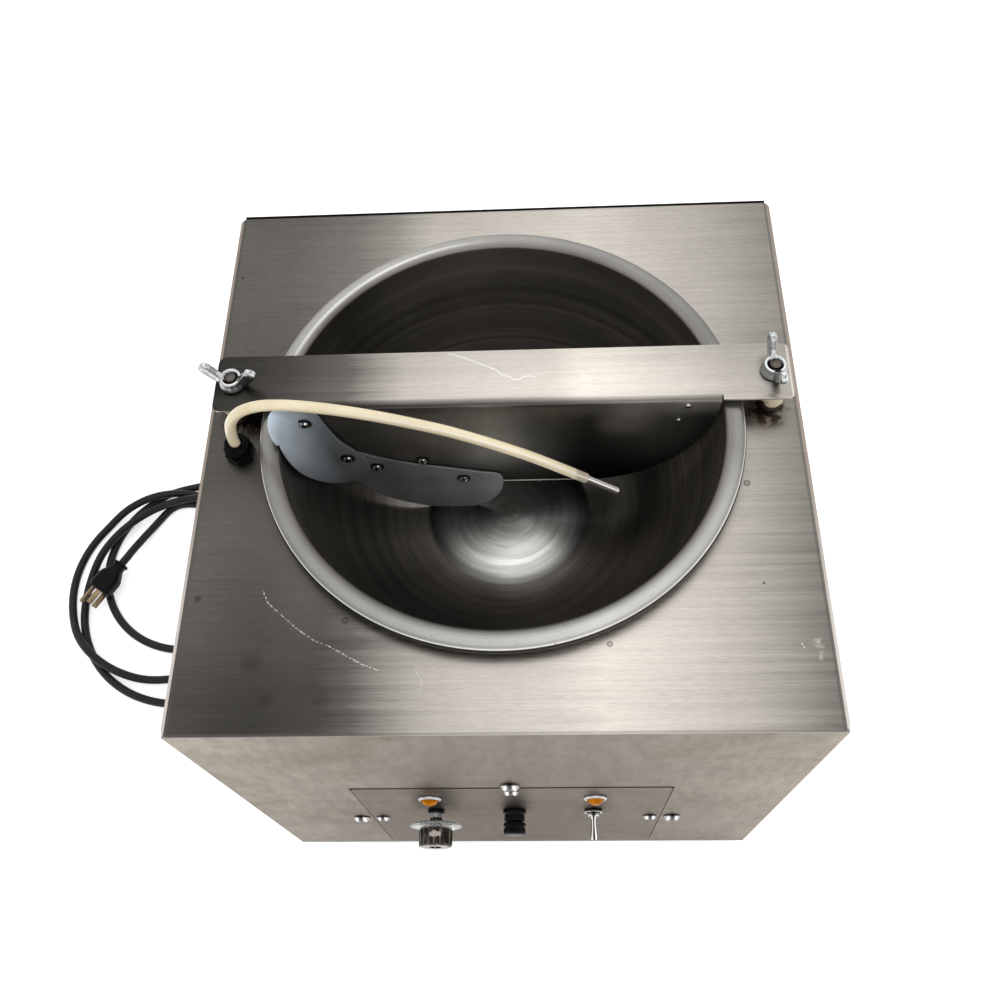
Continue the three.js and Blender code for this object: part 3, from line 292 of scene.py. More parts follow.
# Painted reflection: brightness around the bowl's rim, by turn
RIM_ROUND = (
    (-3.142, 0.30), (-2.97, 0.25), (-2.27, 0.28), (-1.92, 0.35), (-1.57, 0.455), (-1.22, 0.555),
    (-0.87, 0.475), (-0.52, 0.40), (-0.17, 0.28), (0.44, 0.24), (1.06, 0.31), (1.70, 0.39), (2.32, 0.475),
    (2.74, 0.39), (3.142, 0.30))
# Painted reflection: brightness around the bowl's floor, bright on its near half
FLOOR_ROUND = (
    (-3.142, 0.10), (-2.79, 0.27), (-2.44, 0.57), (-2.09, 0.96), (-1.6, 1.0), (-1.0, 1.0), (-0.80, 0.96),
    (-0.62, 0.72), (-0.45, 0.38), (-0.30, 0.18), (-0.16, 0.080), (0.0, 0.030), (0.2, 0.012), (0.5, 0.006),
    (1.2, 0.006), (2.5, 0.05), (3.142, 0.10))
# Painted reflection and shade around the bowl's walls
WALL_ROUND = (
    (-3.142, 0.13), (-2.79, 0.25), (-2.44, 0.13), (-1.75, 0.074), (-1.05, 0.12), (-0.6, 0.22), (-0.2, 0.30),
    (0.1, 0.32), (2.1, 0.32), (2.44, 0.17), (2.79, 0.25), (3.142, 0.16))


def sheet_steel(name, tone, grain="X", shine=0.34, lines=0.08, cloud=0.07, marks=None,
                edge=(1.0, 1.0, 1.0)):
    """Brushed or dull stainless sheet. tone makes its brightness, which on the top, front, plate and bridge is
    painted reflection, and marks adds its wear, stains and painted light.
    """
    steel = Finish(name, Metallic=1.0, Anisotropic=0.45, Specular_Tint=edge)
    color = tone(steel)
    fine = steel.noise(steel.place(stretched(grain, 130, 1700)), 1.0, 2)
    broad = steel.noise(steel.place(stretched(grain, 11, 620)), 1.0, 3)
    haze = steel.noise(steel.place(), 9.0, 4, 0.55, 0.4)
    grainy = steel.plus(steel.times(fine, 0.55), steel.times(broad, 0.45))
    color = steel.scaled(color, steel.span(grainy, 0.3, 0.7, 1 - lines, 1 + lines))
    color = steel.scaled(color, steel.span(haze, 0.3, 0.7, 1 - cloud, 1 + cloud))
    if marks:
        color = marks(steel, color)
    steel.set("Base Color", color)
    rough = steel.plus(steel.span(grainy, 0.3, 0.7, shine - 0.05, shine + 0.06),
                       steel.span(haze, 0.35, 0.7, 0.0, 0.08))
    steel.set("Roughness", rough)
    axis = {"X": (1, 0, 0), "Y": (0, 1, 0), "Z": (0, 0, 1)}[grain]
    steel.set("Tangent", steel.add("CombineXYZ", dict(enumerate(axis))).outputs[0])
    steel.bump(grainy, 0.00004, 0.35)
    return steel.material


def streaked(steel):
    """How far across a point is, shifted from one streak of the grain to the next."""
    streak = steel.noise(steel.place((2.5, 190, 190)), 1.0, 4, 0.7)
    return steel.plus(steel.along("X"), steel.span(streak, 0.2, 0.8, -0.010, 0.010))


# Brightness across a panel's width; on the front, the control plate and the bridge it is painted reflection
def along_width(stops, tint=STEEL_TINT):
    return lambda steel: tones(steel, streaked(steel), stops, tint)


def top_tone(steel):
    # Painted reflection on the work top, blended from its front to its back
    across = streaked(steel)
    back = steel.span(steel.along("Y"), -0.17, 0.205)
    return steel.blend(back, tones(steel, across, TOP_FRONT, STEEL_TINT),
                       tones(steel, across, TOP_BACK, STEEL_TINT))


def top_marks(steel, tone):
    """Residue, scratches and dark spots on the work top, and painted light: a pool of light, the shading of its
    dimples, and highlights and dark lines along its side folds and front edge.
    """
    place = steel.place()
    # Painted pool of light on the top's front left
    painted_light_pool = steel.spot((-0.165, -0.090, TOP_Z), 0.02, 0.105)
    tone = steel.scaled(tone, steel.span(painted_light_pool, 0.0, 1.0, 1.0, 1.55))
    # Painted dark line just inside each side fold, and a painted highlight on the folds, dimmer towards the
    # front
    aside = steel.positive(steel.part(place, "X"))
    tone = steel.over(tone, warm(0.09), steel.band(aside, 0.1988, 0.1996, 0.2003, 0.2008), 0.55)
    depth = steel.part(place, "Y")
    fold = steel.blend(steel.span(depth, 0.0, -0.15), (0.34, 0.28, 0.24), (0.60, 0.56, 0.52))
    tone = steel.over(tone, fold, steel.span(aside, 0.2010, 0.2015), 0.9)
    # Painted shade on the bend along the front edge
    tone = steel.over(tone, warm(0.12), steel.span(depth, FRONT_Y + 0.0020, FRONT_Y + 0.0012), 0.4)
    blotchy = steel.span(steel.noise(place, 170.0, 4), 0.40, 0.56)
    flakes = steel.span(steel.noise(steel.place((420, 150, 1)), 1.0, 3), 0.54, 0.62)
    for x, y, inner, outer, flaky in (
            (-0.176, 0.036, 0.009, 0.024, 0.6), (0.181, 0.031, 0.009, 0.017, 0.1)):
        smear = steel.spot((x, y, TOP_Z), inner, outer)
        tone = steel.over(tone, (0.030, 0.016, 0.009), smear, blotchy, 0.9)
        tone = steel.over(tone, (0.42, 0.35, 0.26), smear, flakes, flaky)
    # Painted shade of small dents: a dark ring round a lighter middle
    for x, y, radius in ((-0.0971, -0.1167, 0.0026), (0.1610, -0.0251, 0.0026), (0.0667, -0.1343, 0.0022)):
        ring = steel.math("SUBTRACT", steel.spot((x, y, TOP_Z), radius * 0.7, radius),
                          steel.times(steel.spot((x, y, TOP_Z), radius * 0.25, radius * 0.6), 0.7))
        tone = steel.over(tone, (0.035, 0.025, 0.018), ring, 0.65)
    for x, y, radius, depth in (
            (-0.1925, -0.1008, 0.0034, 0.6), (-0.1954, 0.1587, 0.0016, 0.8), (0.1639, -0.0958, 0.0014, 0.8),
            (-0.1533, -0.1436, 0.0100, 0.3), (-0.1420, -0.1669, 0.0085, 0.32),
            (-0.1073, -0.1673, 0.0080, 0.28)):
        tone = steel.over(tone, (0.025, 0.020, 0.016), steel.spot((x, y, TOP_Z), radius * 0.2, radius),
                          depth)
    patch = steel.span(steel.noise(place, 700.0, 3), 0.44, 0.60)
    route = (
        (-0.1516, -0.0953), (-0.1471, -0.1043), (-0.1386, -0.1118), (-0.1269, -0.1219), (-0.1161, -0.1293),
        (-0.1051, -0.1339), (-0.0922, -0.1412), (-0.0839, -0.1457), (-0.0732, -0.1496))
    lines = [(start, end, 0.00055) for start, end in zip(route, route[1:])]
    lines += [
        ((-0.0518, -0.1493), (-0.0476, -0.1556), 0.0004), ((-0.0476, -0.1556), (-0.0483, -0.1618), 0.0004)]
    lines += [((0.1815, -0.1346), (0.1838, -0.1396), 0.0008)]
    for start, end, width in lines:
        line = steel.scratch((*start, TOP_Z), (*end, TOP_Z), width)
        tone = steel.over(tone, (0.70, 0.67, 0.62), line, patch, 0.7)
    soft = steel.span(steel.noise(place, 260.0, 3), 0.36, 0.60)
    dabs = steel.most(steel.spot((0.1918, -0.1352, TOP_Z), 0.0015, 0.0046),
                      steel.scratch((0.1938, -0.1370, TOP_Z), (0.1920, -0.1455, TOP_Z), 0.0018))
    return steel.over(tone, (0.50, 0.48, 0.45), dabs, soft, 0.55)


def front_marks(steel, tone):
    """Brown stains, thin curved scratches, painted shade about and above the controls (their dark reflection
    and soft shadow), a painted shadow along the plate's upper edge, and darker towards the bottom.
    """
    smear = steel.noise(steel.place((1, 1, 1.6), (0.1, 0, 0.3)), 8.0, 5, 0.6, 1.0)
    tone = steel.blend(steel.span(smear, 0.46, 0.72, 0.0, 0.45), tone, (0.13, 0.10, 0.07))
    wiped = steel.noise(steel.place((9, 1, 4), (0.1, 0, 0.3)), 1.0, 4, 0.6, 1.4)
    tone = steel.scaled(tone, steel.span(wiped, 0.35, 0.65, 0.92, 1.07))
    mottled = steel.noise(steel.place((130, 1, 38)), 1.0, 5, 0.7)
    tone = steel.scaled(tone, steel.span(mottled, 0.32, 0.68, 0.87, 1.12))
    blotchy = steel.span(steel.noise(steel.place((80, 1, 30)), 1.0, 4, 0.65), 0.28, 0.56)
    # Painted shade about and above each control: its dark reflection and soft shadow, in blotches
    for node, lift, wide, depth in (
            ("lamp_bezel_left", 0.022, 0.021, 0.75), ("lamp_bezel_right", 0.012, 0.017, 0.60),
            ("toggle_nut", 0.012, 0.017, 0.75), ("control_nut", 0.014, 0.024, 0.80),
            ("fuse_holder", 0.014, 0.019, 0.65)):
        spot = middle(node)
        away = steel.vector("LENGTH", steel.place((1, 0, 0.36), (spot.x + 0.002, 0, spot.z + lift)))
        tone = steel.over(tone, (0.026, 0.020, 0.014), steel.span(away, wide, 0.002), blotchy, depth)
    curl = steel.noise(steel.place((9, 1, 22), (0.05, 0, 0.2)), 1.0, 3, 0.5, 2.6)
    thin = steel.band(curl, 0.488, 0.5, 0.5, 0.512)
    patch = steel.span(steel.noise(steel.place(), 14.0, 2), 0.46, 0.62)
    tone = steel.over(tone, (0.14, 0.11, 0.085), thin, patch, 0.35)
    height = steel.along("Z")
    tone = steel.scaled(tone, tones(steel, height, FRONT_DOWN))
    # Painted shadow of the gap along the plate's upper edge, over the front just above it
    top, side = PLATE_HIGH.z, PLATE_HIGH.x
    edge = steel.band(height, top - 0.0010, top - 0.0002, top + 0.0046, top + 0.0062)
    beside = steel.span(steel.positive(steel.along("X")), side + 0.0012, side)
    return steel.over(tone, (0.020, 0.017, 0.014), edge, beside, 0.85)


def plate_marks(steel, tone):
    """The front's stains, scratches and painted shade, and the ruled lines of a bare control plate."""
    tone = front_marks(steel, tone)
    y = PLATE_LOW.y
    rules = [((side * 0.1083, y, 0.128), (side * 0.1100, y, 0.030), 0.0005) for side in (-1, 1)]
    rules += [((-0.104, y, z), (0.104, y, z), 0.00035) for z in (0.137, 0.098, 0.094)]
    for start, end, width in rules:
        tone = steel.over(tone, (0.03, 0.026, 0.022), steel.scratch(start, end, width), 0.75)
    return tone


def bowl_steel(name):
    """Spun steel: a satin rim, dark walls, and a floor whose near half catches the light, all painted
    reflection, with painted shadows of the divider, painted highlights and shade on the rim, and a painted glow
    on the floor.
    """
    steel = Finish(name, Metallic=0.8, Anisotropic=0.7, Anisotropic_Rotation=0.25, Specular_IOR_Level=0.0)
    flat = steel.place((1, 1, 0), (BOWL_X, BOWL_Y, 0))
    reach = steel.vector("LENGTH", flat)
    turn = steel.math("ARCTAN2", steel.part(flat, "Y"), steel.part(flat, "X"))
    height = steel.along("Z")
    rings = steel.noise(steel.add("CombineXYZ", {0: steel.times(reach, 700.0)}).outputs[0], 1.0, 3)
    arcs = steel.noise(steel.add("CombineXYZ", {0: steel.times(reach, 190.0),
                                                1: steel.times(turn, 0.7)}).outputs[0], 1.0, 3)
    # Painted reflection on the floor: bright on its near half and dark in its middle, with painted shade
    # darkening to its edge
    floor = tones(steel, turn, FLOOR_ROUND, (1.0, 1.0, 0.96))
    floor = steel.blend(steel.span(reach, 0.0, 0.046), (0.030, 0.030, 0.027), floor)
    edge = tones(steel, reach, ((0.046, 0.95), (0.053, 0.66), (0.058, 0.34), (0.063, 0.15)))
    floor = steel.scaled(floor, edge)
    # Painted reflection and shade on the walls, by turn and by reach
    walls = tones(steel, turn, WALL_ROUND, (1.0, 0.91, 0.80))
    fade = tones(steel, reach, ((0.063, 1.15), (0.085, 0.9), (0.105, 0.62), (0.149, 0.55)))
    walls = steel.scaled(walls, fade)
    # Painted shadows of the divider, on the wall and the floor below its right part
    for centre, inner, outer, depth in (
            ((0.075, 0.030, 0.290), 0.030, 0.075, 0.85),
            ((BOWL_X + 0.066, BOWL_Y + 0.004, BOWL_LOW.z + 0.003), 0.008, 0.028, 0.80)):
        walls = steel.over(walls, (0.004, 0.004, 0.003), steel.spot(centre, inner, outer), depth)
    walls = steel.blend(steel.span(reach, 0.0650, 0.0610), walls, floor)
    walls = steel.scaled(walls, steel.span(arcs, 0.3, 0.7, 0.80, 1.16))
    # Painted reflection around the rim, by turn
    rim = tones(steel, turn, RIM_ROUND, (1.0, 0.98, 0.92))
    # Painted shade in the groove near the rim's outer edge
    rim = steel.over(rim, warm(0.09), steel.band(reach, 0.1597, 0.1604, 0.1609, 0.1617), 0.25)
    # Painted highlight on the rolled bead
    rim = steel.blend(steel.span(reach, 0.1616, 0.1621), rim, (0.95, 0.94, 0.91))
    # Painted shade under the rolled bead
    under = steel.times(steel.span(reach, 0.1600, 0.1612), steel.span(height, 0.4095, 0.4086))
    rim = steel.blend(under, rim, (0.035, 0.033, 0.030))
    # Painted highlight on the rim's inner part at the back left
    lit = steel.band(reach, 0.1522, 0.1538, 0.1548, 0.1562)
    rim = steel.over(rim, (1.0, 1.0, 0.98), lit, steel.band(turn, 1.5, 2.1, 2.5, 3.05), 0.8)
    specks = steel.span(steel.noise(steel.place(), 620.0, 2), 0.68, 0.74)
    rim = steel.over(rim, (0.10, 0.09, 0.08), specks, 0.6)
    lip = steel.times(steel.span(reach, 0.1488, 0.1568), steel.span(height, 0.4040, 0.4100))
    tone = steel.blend(lip, walls, rim)
    inside = steel.span(reach, 0.1495, 0.1485, 0.05, 0.14)
    tone = steel.blend(inside, tone, steel.scaled(tone, steel.span(rings, 0.3, 0.7, 0.0, 2.0)))
    smear = steel.noise(steel.place(), 18.0, 4, 0.6, 0.8)
    tone = steel.scaled(tone, steel.span(smear, 0.35, 0.7, 1.05, 0.93))
    steel.set("Base Color", tone)
    # Painted glow on the floor's near half
    glow = steel.spot((BOWL_X + 0.012, BOWL_Y - 0.046, BOWL_LOW.z), 0.010, 0.040)
    steel.set("Emission Color", tone)
    steel.set("Emission Strength", steel.times(glow, 0.38))
    steel.set("Roughness", steel.span(rings, 0.3, 0.7, 0.27, 0.38))
    steel.set("Tangent", steel.add("Tangent", {}, direction_type="RADIAL", axis="Z").outputs[0])
    steel.bump(rings, 0.00002, 0.3)
    return steel.material


# Painted reflection: brightness bands by where a plated surface faces
BANDS = (
    (0.0, 0.08), (0.45, 0.20), (0.54, 0.75), (0.62, 0.40), (0.70, 0.55), (0.78, 0.20), (0.86, 0.90),
    (0.93, 0.38), (1.0, 1.0))
DOME_BANDS = ((0.0, 0.10), (0.16, 0.16), (0.26, 1.0), (0.48, 1.0), (0.62, 0.35), (0.8, 0.55), (1.0, 0.12))
ROD_BANDS = ((0.0, 0.03), (0.24, 0.05), (0.36, 0.95), (0.68, 1.0), (0.82, 0.22), (1.0, 0.05))
TIP_BANDS = (
    (0.0, 0.10), (0.11, 0.14), (0.16, 1.0), (0.35, 1.0), (0.40, 0.18), (0.44, 0.18), (0.48, 0.55),
    (0.75, 0.60), (0.90, 0.25), (1.0, 0.1))


def plated(name, shade, shine, wear=0.25, contrast=0.8, sideways=None, metallic=1.0, lengthways=None,
           glow=0.0):
    """Bright plating, banded by where it faces in painted reflection, with painted shade in its recesses,
    patches of wear, and at will a painted glow.
    """
    metal = Finish(name, Metallic=metallic)
    grain = metal.noise(metal.place(), 900.0, 3)
    patch = metal.noise(metal.place(), 130.0, 3, 0.6)
    tone = metal.blend(metal.span(patch, 0.45, 0.75, 0.0, wear * 2), shade,
                       tuple(value * 0.45 for value in shade))
    # Painted reflection bands by where the surface faces; on domes also painted shade where they face up
    if sideways:
        bands = metal.ramp(metal.positive(metal.facing("X")), sideways)
        if sideways is DOME_BANDS:
            bands = metal.scaled(bands, metal.span(metal.facing("Z"), 0.60, 0.95, 1.0, 0.10))
    else:
        facing = metal.facing("Y" if lengthways else "Z")
        bands = metal.ramp(metal.times(metal.plus(facing, 1.0), 0.5), lengthways or BANDS)
    tone = metal.blend(contrast, tone, metal.scaled(tone, bands))
    # Painted shade in recesses
    recess = metal.add("AmbientOcclusion", {"Distance": 0.004}, samples=6).outputs["AO"]
    tone = metal.scaled(tone, metal.span(recess, 0.25, 0.9, 0.35, 1.0))
    tone = metal.scaled(tone, metal.span(grain, 0.3, 0.7, 0.9, 1.08))
    metal.set("Base Color", tone)
    # Painted glow
    if glow:
        metal.set("Emission Color", tone)
        metal.set("Emission Strength", glow)
    metal.set("Roughness", metal.span(patch, 0.35, 0.7, shine, shine + 0.16))
    metal.bump(grain, 0.00003, 0.35)
    return metal.material


def moulded(name, shade, rough, grain=700.0, depth=0.00005, dust=0.25, dust_shade=(0.10, 0.09, 0.08),
            **settings):
    """Moulded plastic or rubber with a fine surface grain and a little dust."""
    plastic = Finish(name, **settings)
    fine = plastic.noise(plastic.place(), grain, 3)
    patch = plastic.noise(plastic.place(), 60.0, 4, 0.6)
    plastic.set("Base Color", plastic.blend(plastic.span(patch, 0.45, 0.8, 0.0, dust), shade, dust_shade))
    plastic.set("Roughness", plastic.span(patch, 0.3, 0.7, rough - 0.06, rough + 0.10))
    plastic.bump(fine, depth, 0.5)
    return plastic.material


def bridge_marks(steel, tone):
    """A pale crooked scratch on the bridge and dark finger marks on the hanging divider, with painted shade,
    reflection, a glint and highlights on the fold, the divider, its lower edge and the ears.
    """
    route = (
        (-0.0354, 0.0697), (-0.0311, 0.0685), (-0.0189, 0.0634), (-0.0103, 0.0590), (-0.0027, 0.0552),
        (0.0020, 0.0505), (0.0068, 0.0495), (0.0088, 0.0472), (0.0129, 0.0469), (0.0156, 0.0491),
        (0.0197, 0.0496), (0.0241, 0.0483))
    for start, end in zip(route, route[1:]):
        line = steel.scratch((*start, BRIDGE_HIGH.z), (*end, BRIDGE_HIGH.z), 0.0008)
        tone = steel.over(tone, (0.85, 0.84, 0.80), line, 0.75)
    height = steel.along("Z")
    wide = steel.along("X")
    aside = steel.positive(wide)
    # Painted shade: the bridge darkens towards its front fold, but not on the ears
    depth = steel.plus(steel.along("Y"), steel.span(wide, 0.0, 0.10, 0.0, 0.0016))
    ear = steel.span(aside, 0.1470, 0.1480)
    depth = steel.most(depth, steel.times(ear, 0.036))
    tone = steel.scaled(tone, tones(steel, depth, BRIDGE_BACK))
    # Painted reflection and shade on the hanging divider
    hanging = tones(steel, wide, DIVIDER_FACE, (1.0, 0.94, 0.84))
    hanging = steel.scaled(hanging, tones(steel, height, DIVIDER_UP))
    # A painted glint and a painted highlight added on the divider's right part
    glint = steel.spot((0.086, BRIDGE_LOW.y, 0.393), 0.002, 0.027)
    upper = steel.times(steel.span(height, 0.394, 0.414), steel.span(wide, 0.0, 0.13))
    for share, shade in ((glint, (0.24, 0.22, 0.20)), (upper, (0.36, 0.34, 0.31))):
        hanging = steel.blend(1.0, hanging, steel.blend(share, (0, 0, 0), shade), "ADD")
    finger = steel.noise(steel.place(), 26.0, 3, 0.55, 0.6)
    hanging = steel.scaled(hanging, steel.span(finger, 0.35, 0.65, 0.88, 1.12))
    fold = steel.most(steel.span(height, BRIDGE_HIGH.z - 0.0035, BRIDGE_HIGH.z - 0.0006), ear)
    steel.set("Metallic", steel.span(fold, 0.0, 1.0, 0.75, 1.0))
    steel.set("Specular IOR Level", steel.span(fold, 0.0, 1.0, 0.0, 0.5))
    tone = steel.blend(fold, hanging, tone)
    # Painted highlight along the divider's lower edge, in the middle
    lit = steel.times(steel.span(height, BRIDGE_LOW.z + 0.0019, BRIDGE_LOW.z + 0.0012),
                      steel.span(aside, 0.062, 0.056))
    tone = steel.blend(lit, tone, warm(1.0))
    # Painted highlight on the ears' front cut
    cut = steel.times(steel.span(steel.facing("Y"), -0.25, -0.45), steel.span(aside, 0.1479, 0.1484))
    tone = steel.over(tone, warm(0.85), cut, 0.9)
    # Painted shade on the ends that face sideways
    tone = steel.over(tone, warm(0.10), steel.span(steel.positive(steel.facing("X")), 0.25, 0.45), 0.8)
    # Painted highlight line just inside the right end
    end = BRIDGE_HIGH.x
    inner = steel.band(wide, end - 0.0024, end - 0.0018, end - 0.0012, end - 0.0006)
    return steel.over(tone, warm(0.9), inner, 0.5)


def spacer_nylon(name):
    nylon = Finish(name, Subsurface_Weight=0.12, Subsurface_Scale=0.003)
    height = nylon.along("Z")
    patch = nylon.noise(nylon.place(), 120.0, 4, 0.6)
    level = nylon.plus(height, nylon.span(patch, 0.3, 0.7, -0.0035, 0.0035))
    # Dark brown towards the bottom
    dark_bottom = nylon.span(level, TOP_Z + 0.0105, TOP_Z + 0.0085)
    nylon.set("Base Color", nylon.blend(dark_bottom, (0.72, 0.63, 0.45), (0.035, 0.018, 0.011)))
    nylon.set("Roughness", nylon.span(patch, 0.3, 0.7, 0.35, 0.6))
    nylon.bump(nylon.noise(nylon.place(), 260.0, 3), 0.00015, 0.4)
    return nylon.material


def blade_plastic(name):
    """Milky plastic, palest at the upper blade's bent edge in painted light, with a thin light rim where it is
    cut.
    """
    plastic = Finish(name, Transmission_Weight=0.12, IOR=1.35, Specular_IOR_Level=0.4)
    patch = plastic.noise(plastic.place(), 30.0, 4, 0.6)
    fine = plastic.noise(plastic.place((200, 200, 60)), 1.0, 3)
    across = plastic.along("X")
    # Painted light across the blades' width: palest at the upper blade's bent edge, with a painted highlight at
    # the lower blade's right end
    shares = (
        (0.0, 3.5, 1.25), (0.10, 2.3, 1.15), (0.26, 1.0, 1.05), (0.36, 1.05, 1.0), (0.47, 0.85, 1.0),
        (0.62, 1.2, 1.0), (0.76, 1.75, 1.0), (1.0, 2.4, 1.0))
    red, green, blue = looks().blade_colour
    tone = plastic.ramp(plastic.times(plastic.plus(across, 0.16), 6.25),
                        [(place, (red * share, green * share * (cool + 1) / 2, blue * share * cool))
                         for place, share, cool in shares])
    plastic.set("Base Color", plastic.scaled(tone, plastic.span(patch, 0.3, 0.7, 0.85, 1.15)))
    plastic.set("Roughness", plastic.span(fine, 0.3, 0.7, 0.36, 0.52))
    plastic.bump(fine, 0.00006, 0.4)
    return plastic.material


def sleeve_plastic(name):
    low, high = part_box("probe_sleeve")
    plastic = Finish(name, Subsurface_Weight=0.2, Subsurface_Scale=0.003, Coat_Weight=0.6,
                     Coat_Roughness=0.06)
    across = plastic.along("X")
    end = plastic.span(across, high.x - 0.011, high.x - 0.007)
    patch = plastic.noise(plastic.place(), 45.0, 4, 0.6)
    cream = tuple(looks().sleeve_colour)
    blotchy = plastic.scaled(cream, (0.84, 0.80, 0.76))
    cream = plastic.blend(plastic.span(patch, 0.4, 0.75, 0.0, 0.5), cream, blotchy)
    tone = plastic.blend(end, cream, (0.55, 0.48, 0.37))
    # Painted highlight line along the sleeve
    round_it = plastic.math("ARCTAN2", plastic.facing("Y"), plastic.facing("Z"))
    off = plastic.positive(plastic.plus(round_it, 0.77))
    shine = plastic.times(plastic.span(off, 0.19, 0.07), plastic.span(across, -0.12, -0.03, 0.0, 0.75))
    tone = plastic.blend(shine, tone, (1.0, 0.97, 0.92))
    plastic.set("Base Color", tone)
    # Painted glow, growing towards the tip end
    plastic.set("Emission Color", tone)
    plastic.set("Emission Strength", plastic.span(across, -0.06, 0.05, 0.0, 0.26))
    plastic.set("Roughness", plastic.span(patch, 0.3, 0.7, 0.26, 0.42))
    plastic.bump(plastic.noise(plastic.place(), 500.0, 2), 0.00003, 0.4)
    return plastic.material


def cord_jacket(name):
    jacket = Finish(name, Specular_IOR_Level=0.25)
    patch = jacket.noise(jacket.place(), 40.0, 4, 0.6)
    fine = jacket.noise(jacket.place(), 900.0, 2)
    jacket.set("Base Color", jacket.blend(jacket.span(patch, 0.45, 0.8, 0.0, 0.6),
                                          tuple(looks().cord_colour), (0.030, 0.028, 0.027)))
    jacket.set("Roughness", jacket.span(patch, 0.3, 0.7, 0.34, 0.52))
    jacket.bump(fine, 0.00005, 0.5)
    return jacket.material


def lens_plastic(name):
    lens = Finish(name, Specular_IOR_Level=0.03)
    deep = lens.noise(lens.place(), 260.0, 2)
    cells = lens.span(lens.cells(lens.place(), 900.0), 0.15, 0.55, 0.75, 1.1)
    pale = tuple(looks().lens_colour)
    tone = lens.blend(lens.span(deep, 0.4, 0.65), tuple(part * 0.64 for part in pale), pale)
    lens.set("Base Color", lens.scaled(tone, cells))
    lens.set("Roughness", lens.span(deep, 0.3, 0.7, 0.08, 0.2))
    return lens.material


def smoked_plastic(name):
    """Dark clear plastic: black at both sides in painted shade, with pale streaks along it and a painted bright
    reflection patch deep inside.
    """
    plastic = Finish(name, Specular_IOR_Level=0.35, Roughness=0.14)
    low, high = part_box("knob_body")
    streaks = plastic.noise(plastic.place((620, 70, 620)), 1.0, 3, 0.6)
    tone = plastic.blend(plastic.span(streaks, 0.48, 0.68), (0.014, 0.010, 0.008), (0.24, 0.20, 0.165))
    rough = plastic.times(plastic.noise(plastic.place((500, 260, 500)), 1.0, 3), 0.006)
    # Painted bright reflection patch deep inside the knob
    core = ((low.x + high.x) / 2 + 0.001, low.y + 0.0085, high.z)
    away = plastic.plus(plastic.vector("LENGTH", plastic.place((0.75, 1.6, 0.4), core)), rough)
    tone = plastic.blend(plastic.span(away, 0.0072, 0.0060, 0.0, 0.9), tone, (0.74, 0.66, 0.60))
    # Painted shade: black where the surface turns away from above
    plastic.set("Base Color", plastic.blend(plastic.span(plastic.facing("Z"), 0.55, 0.30), tone,
                                            (0.003, 0.003, 0.003)))
    plastic.bump(streaks, 0.00003, 0.3)
    return plastic.material


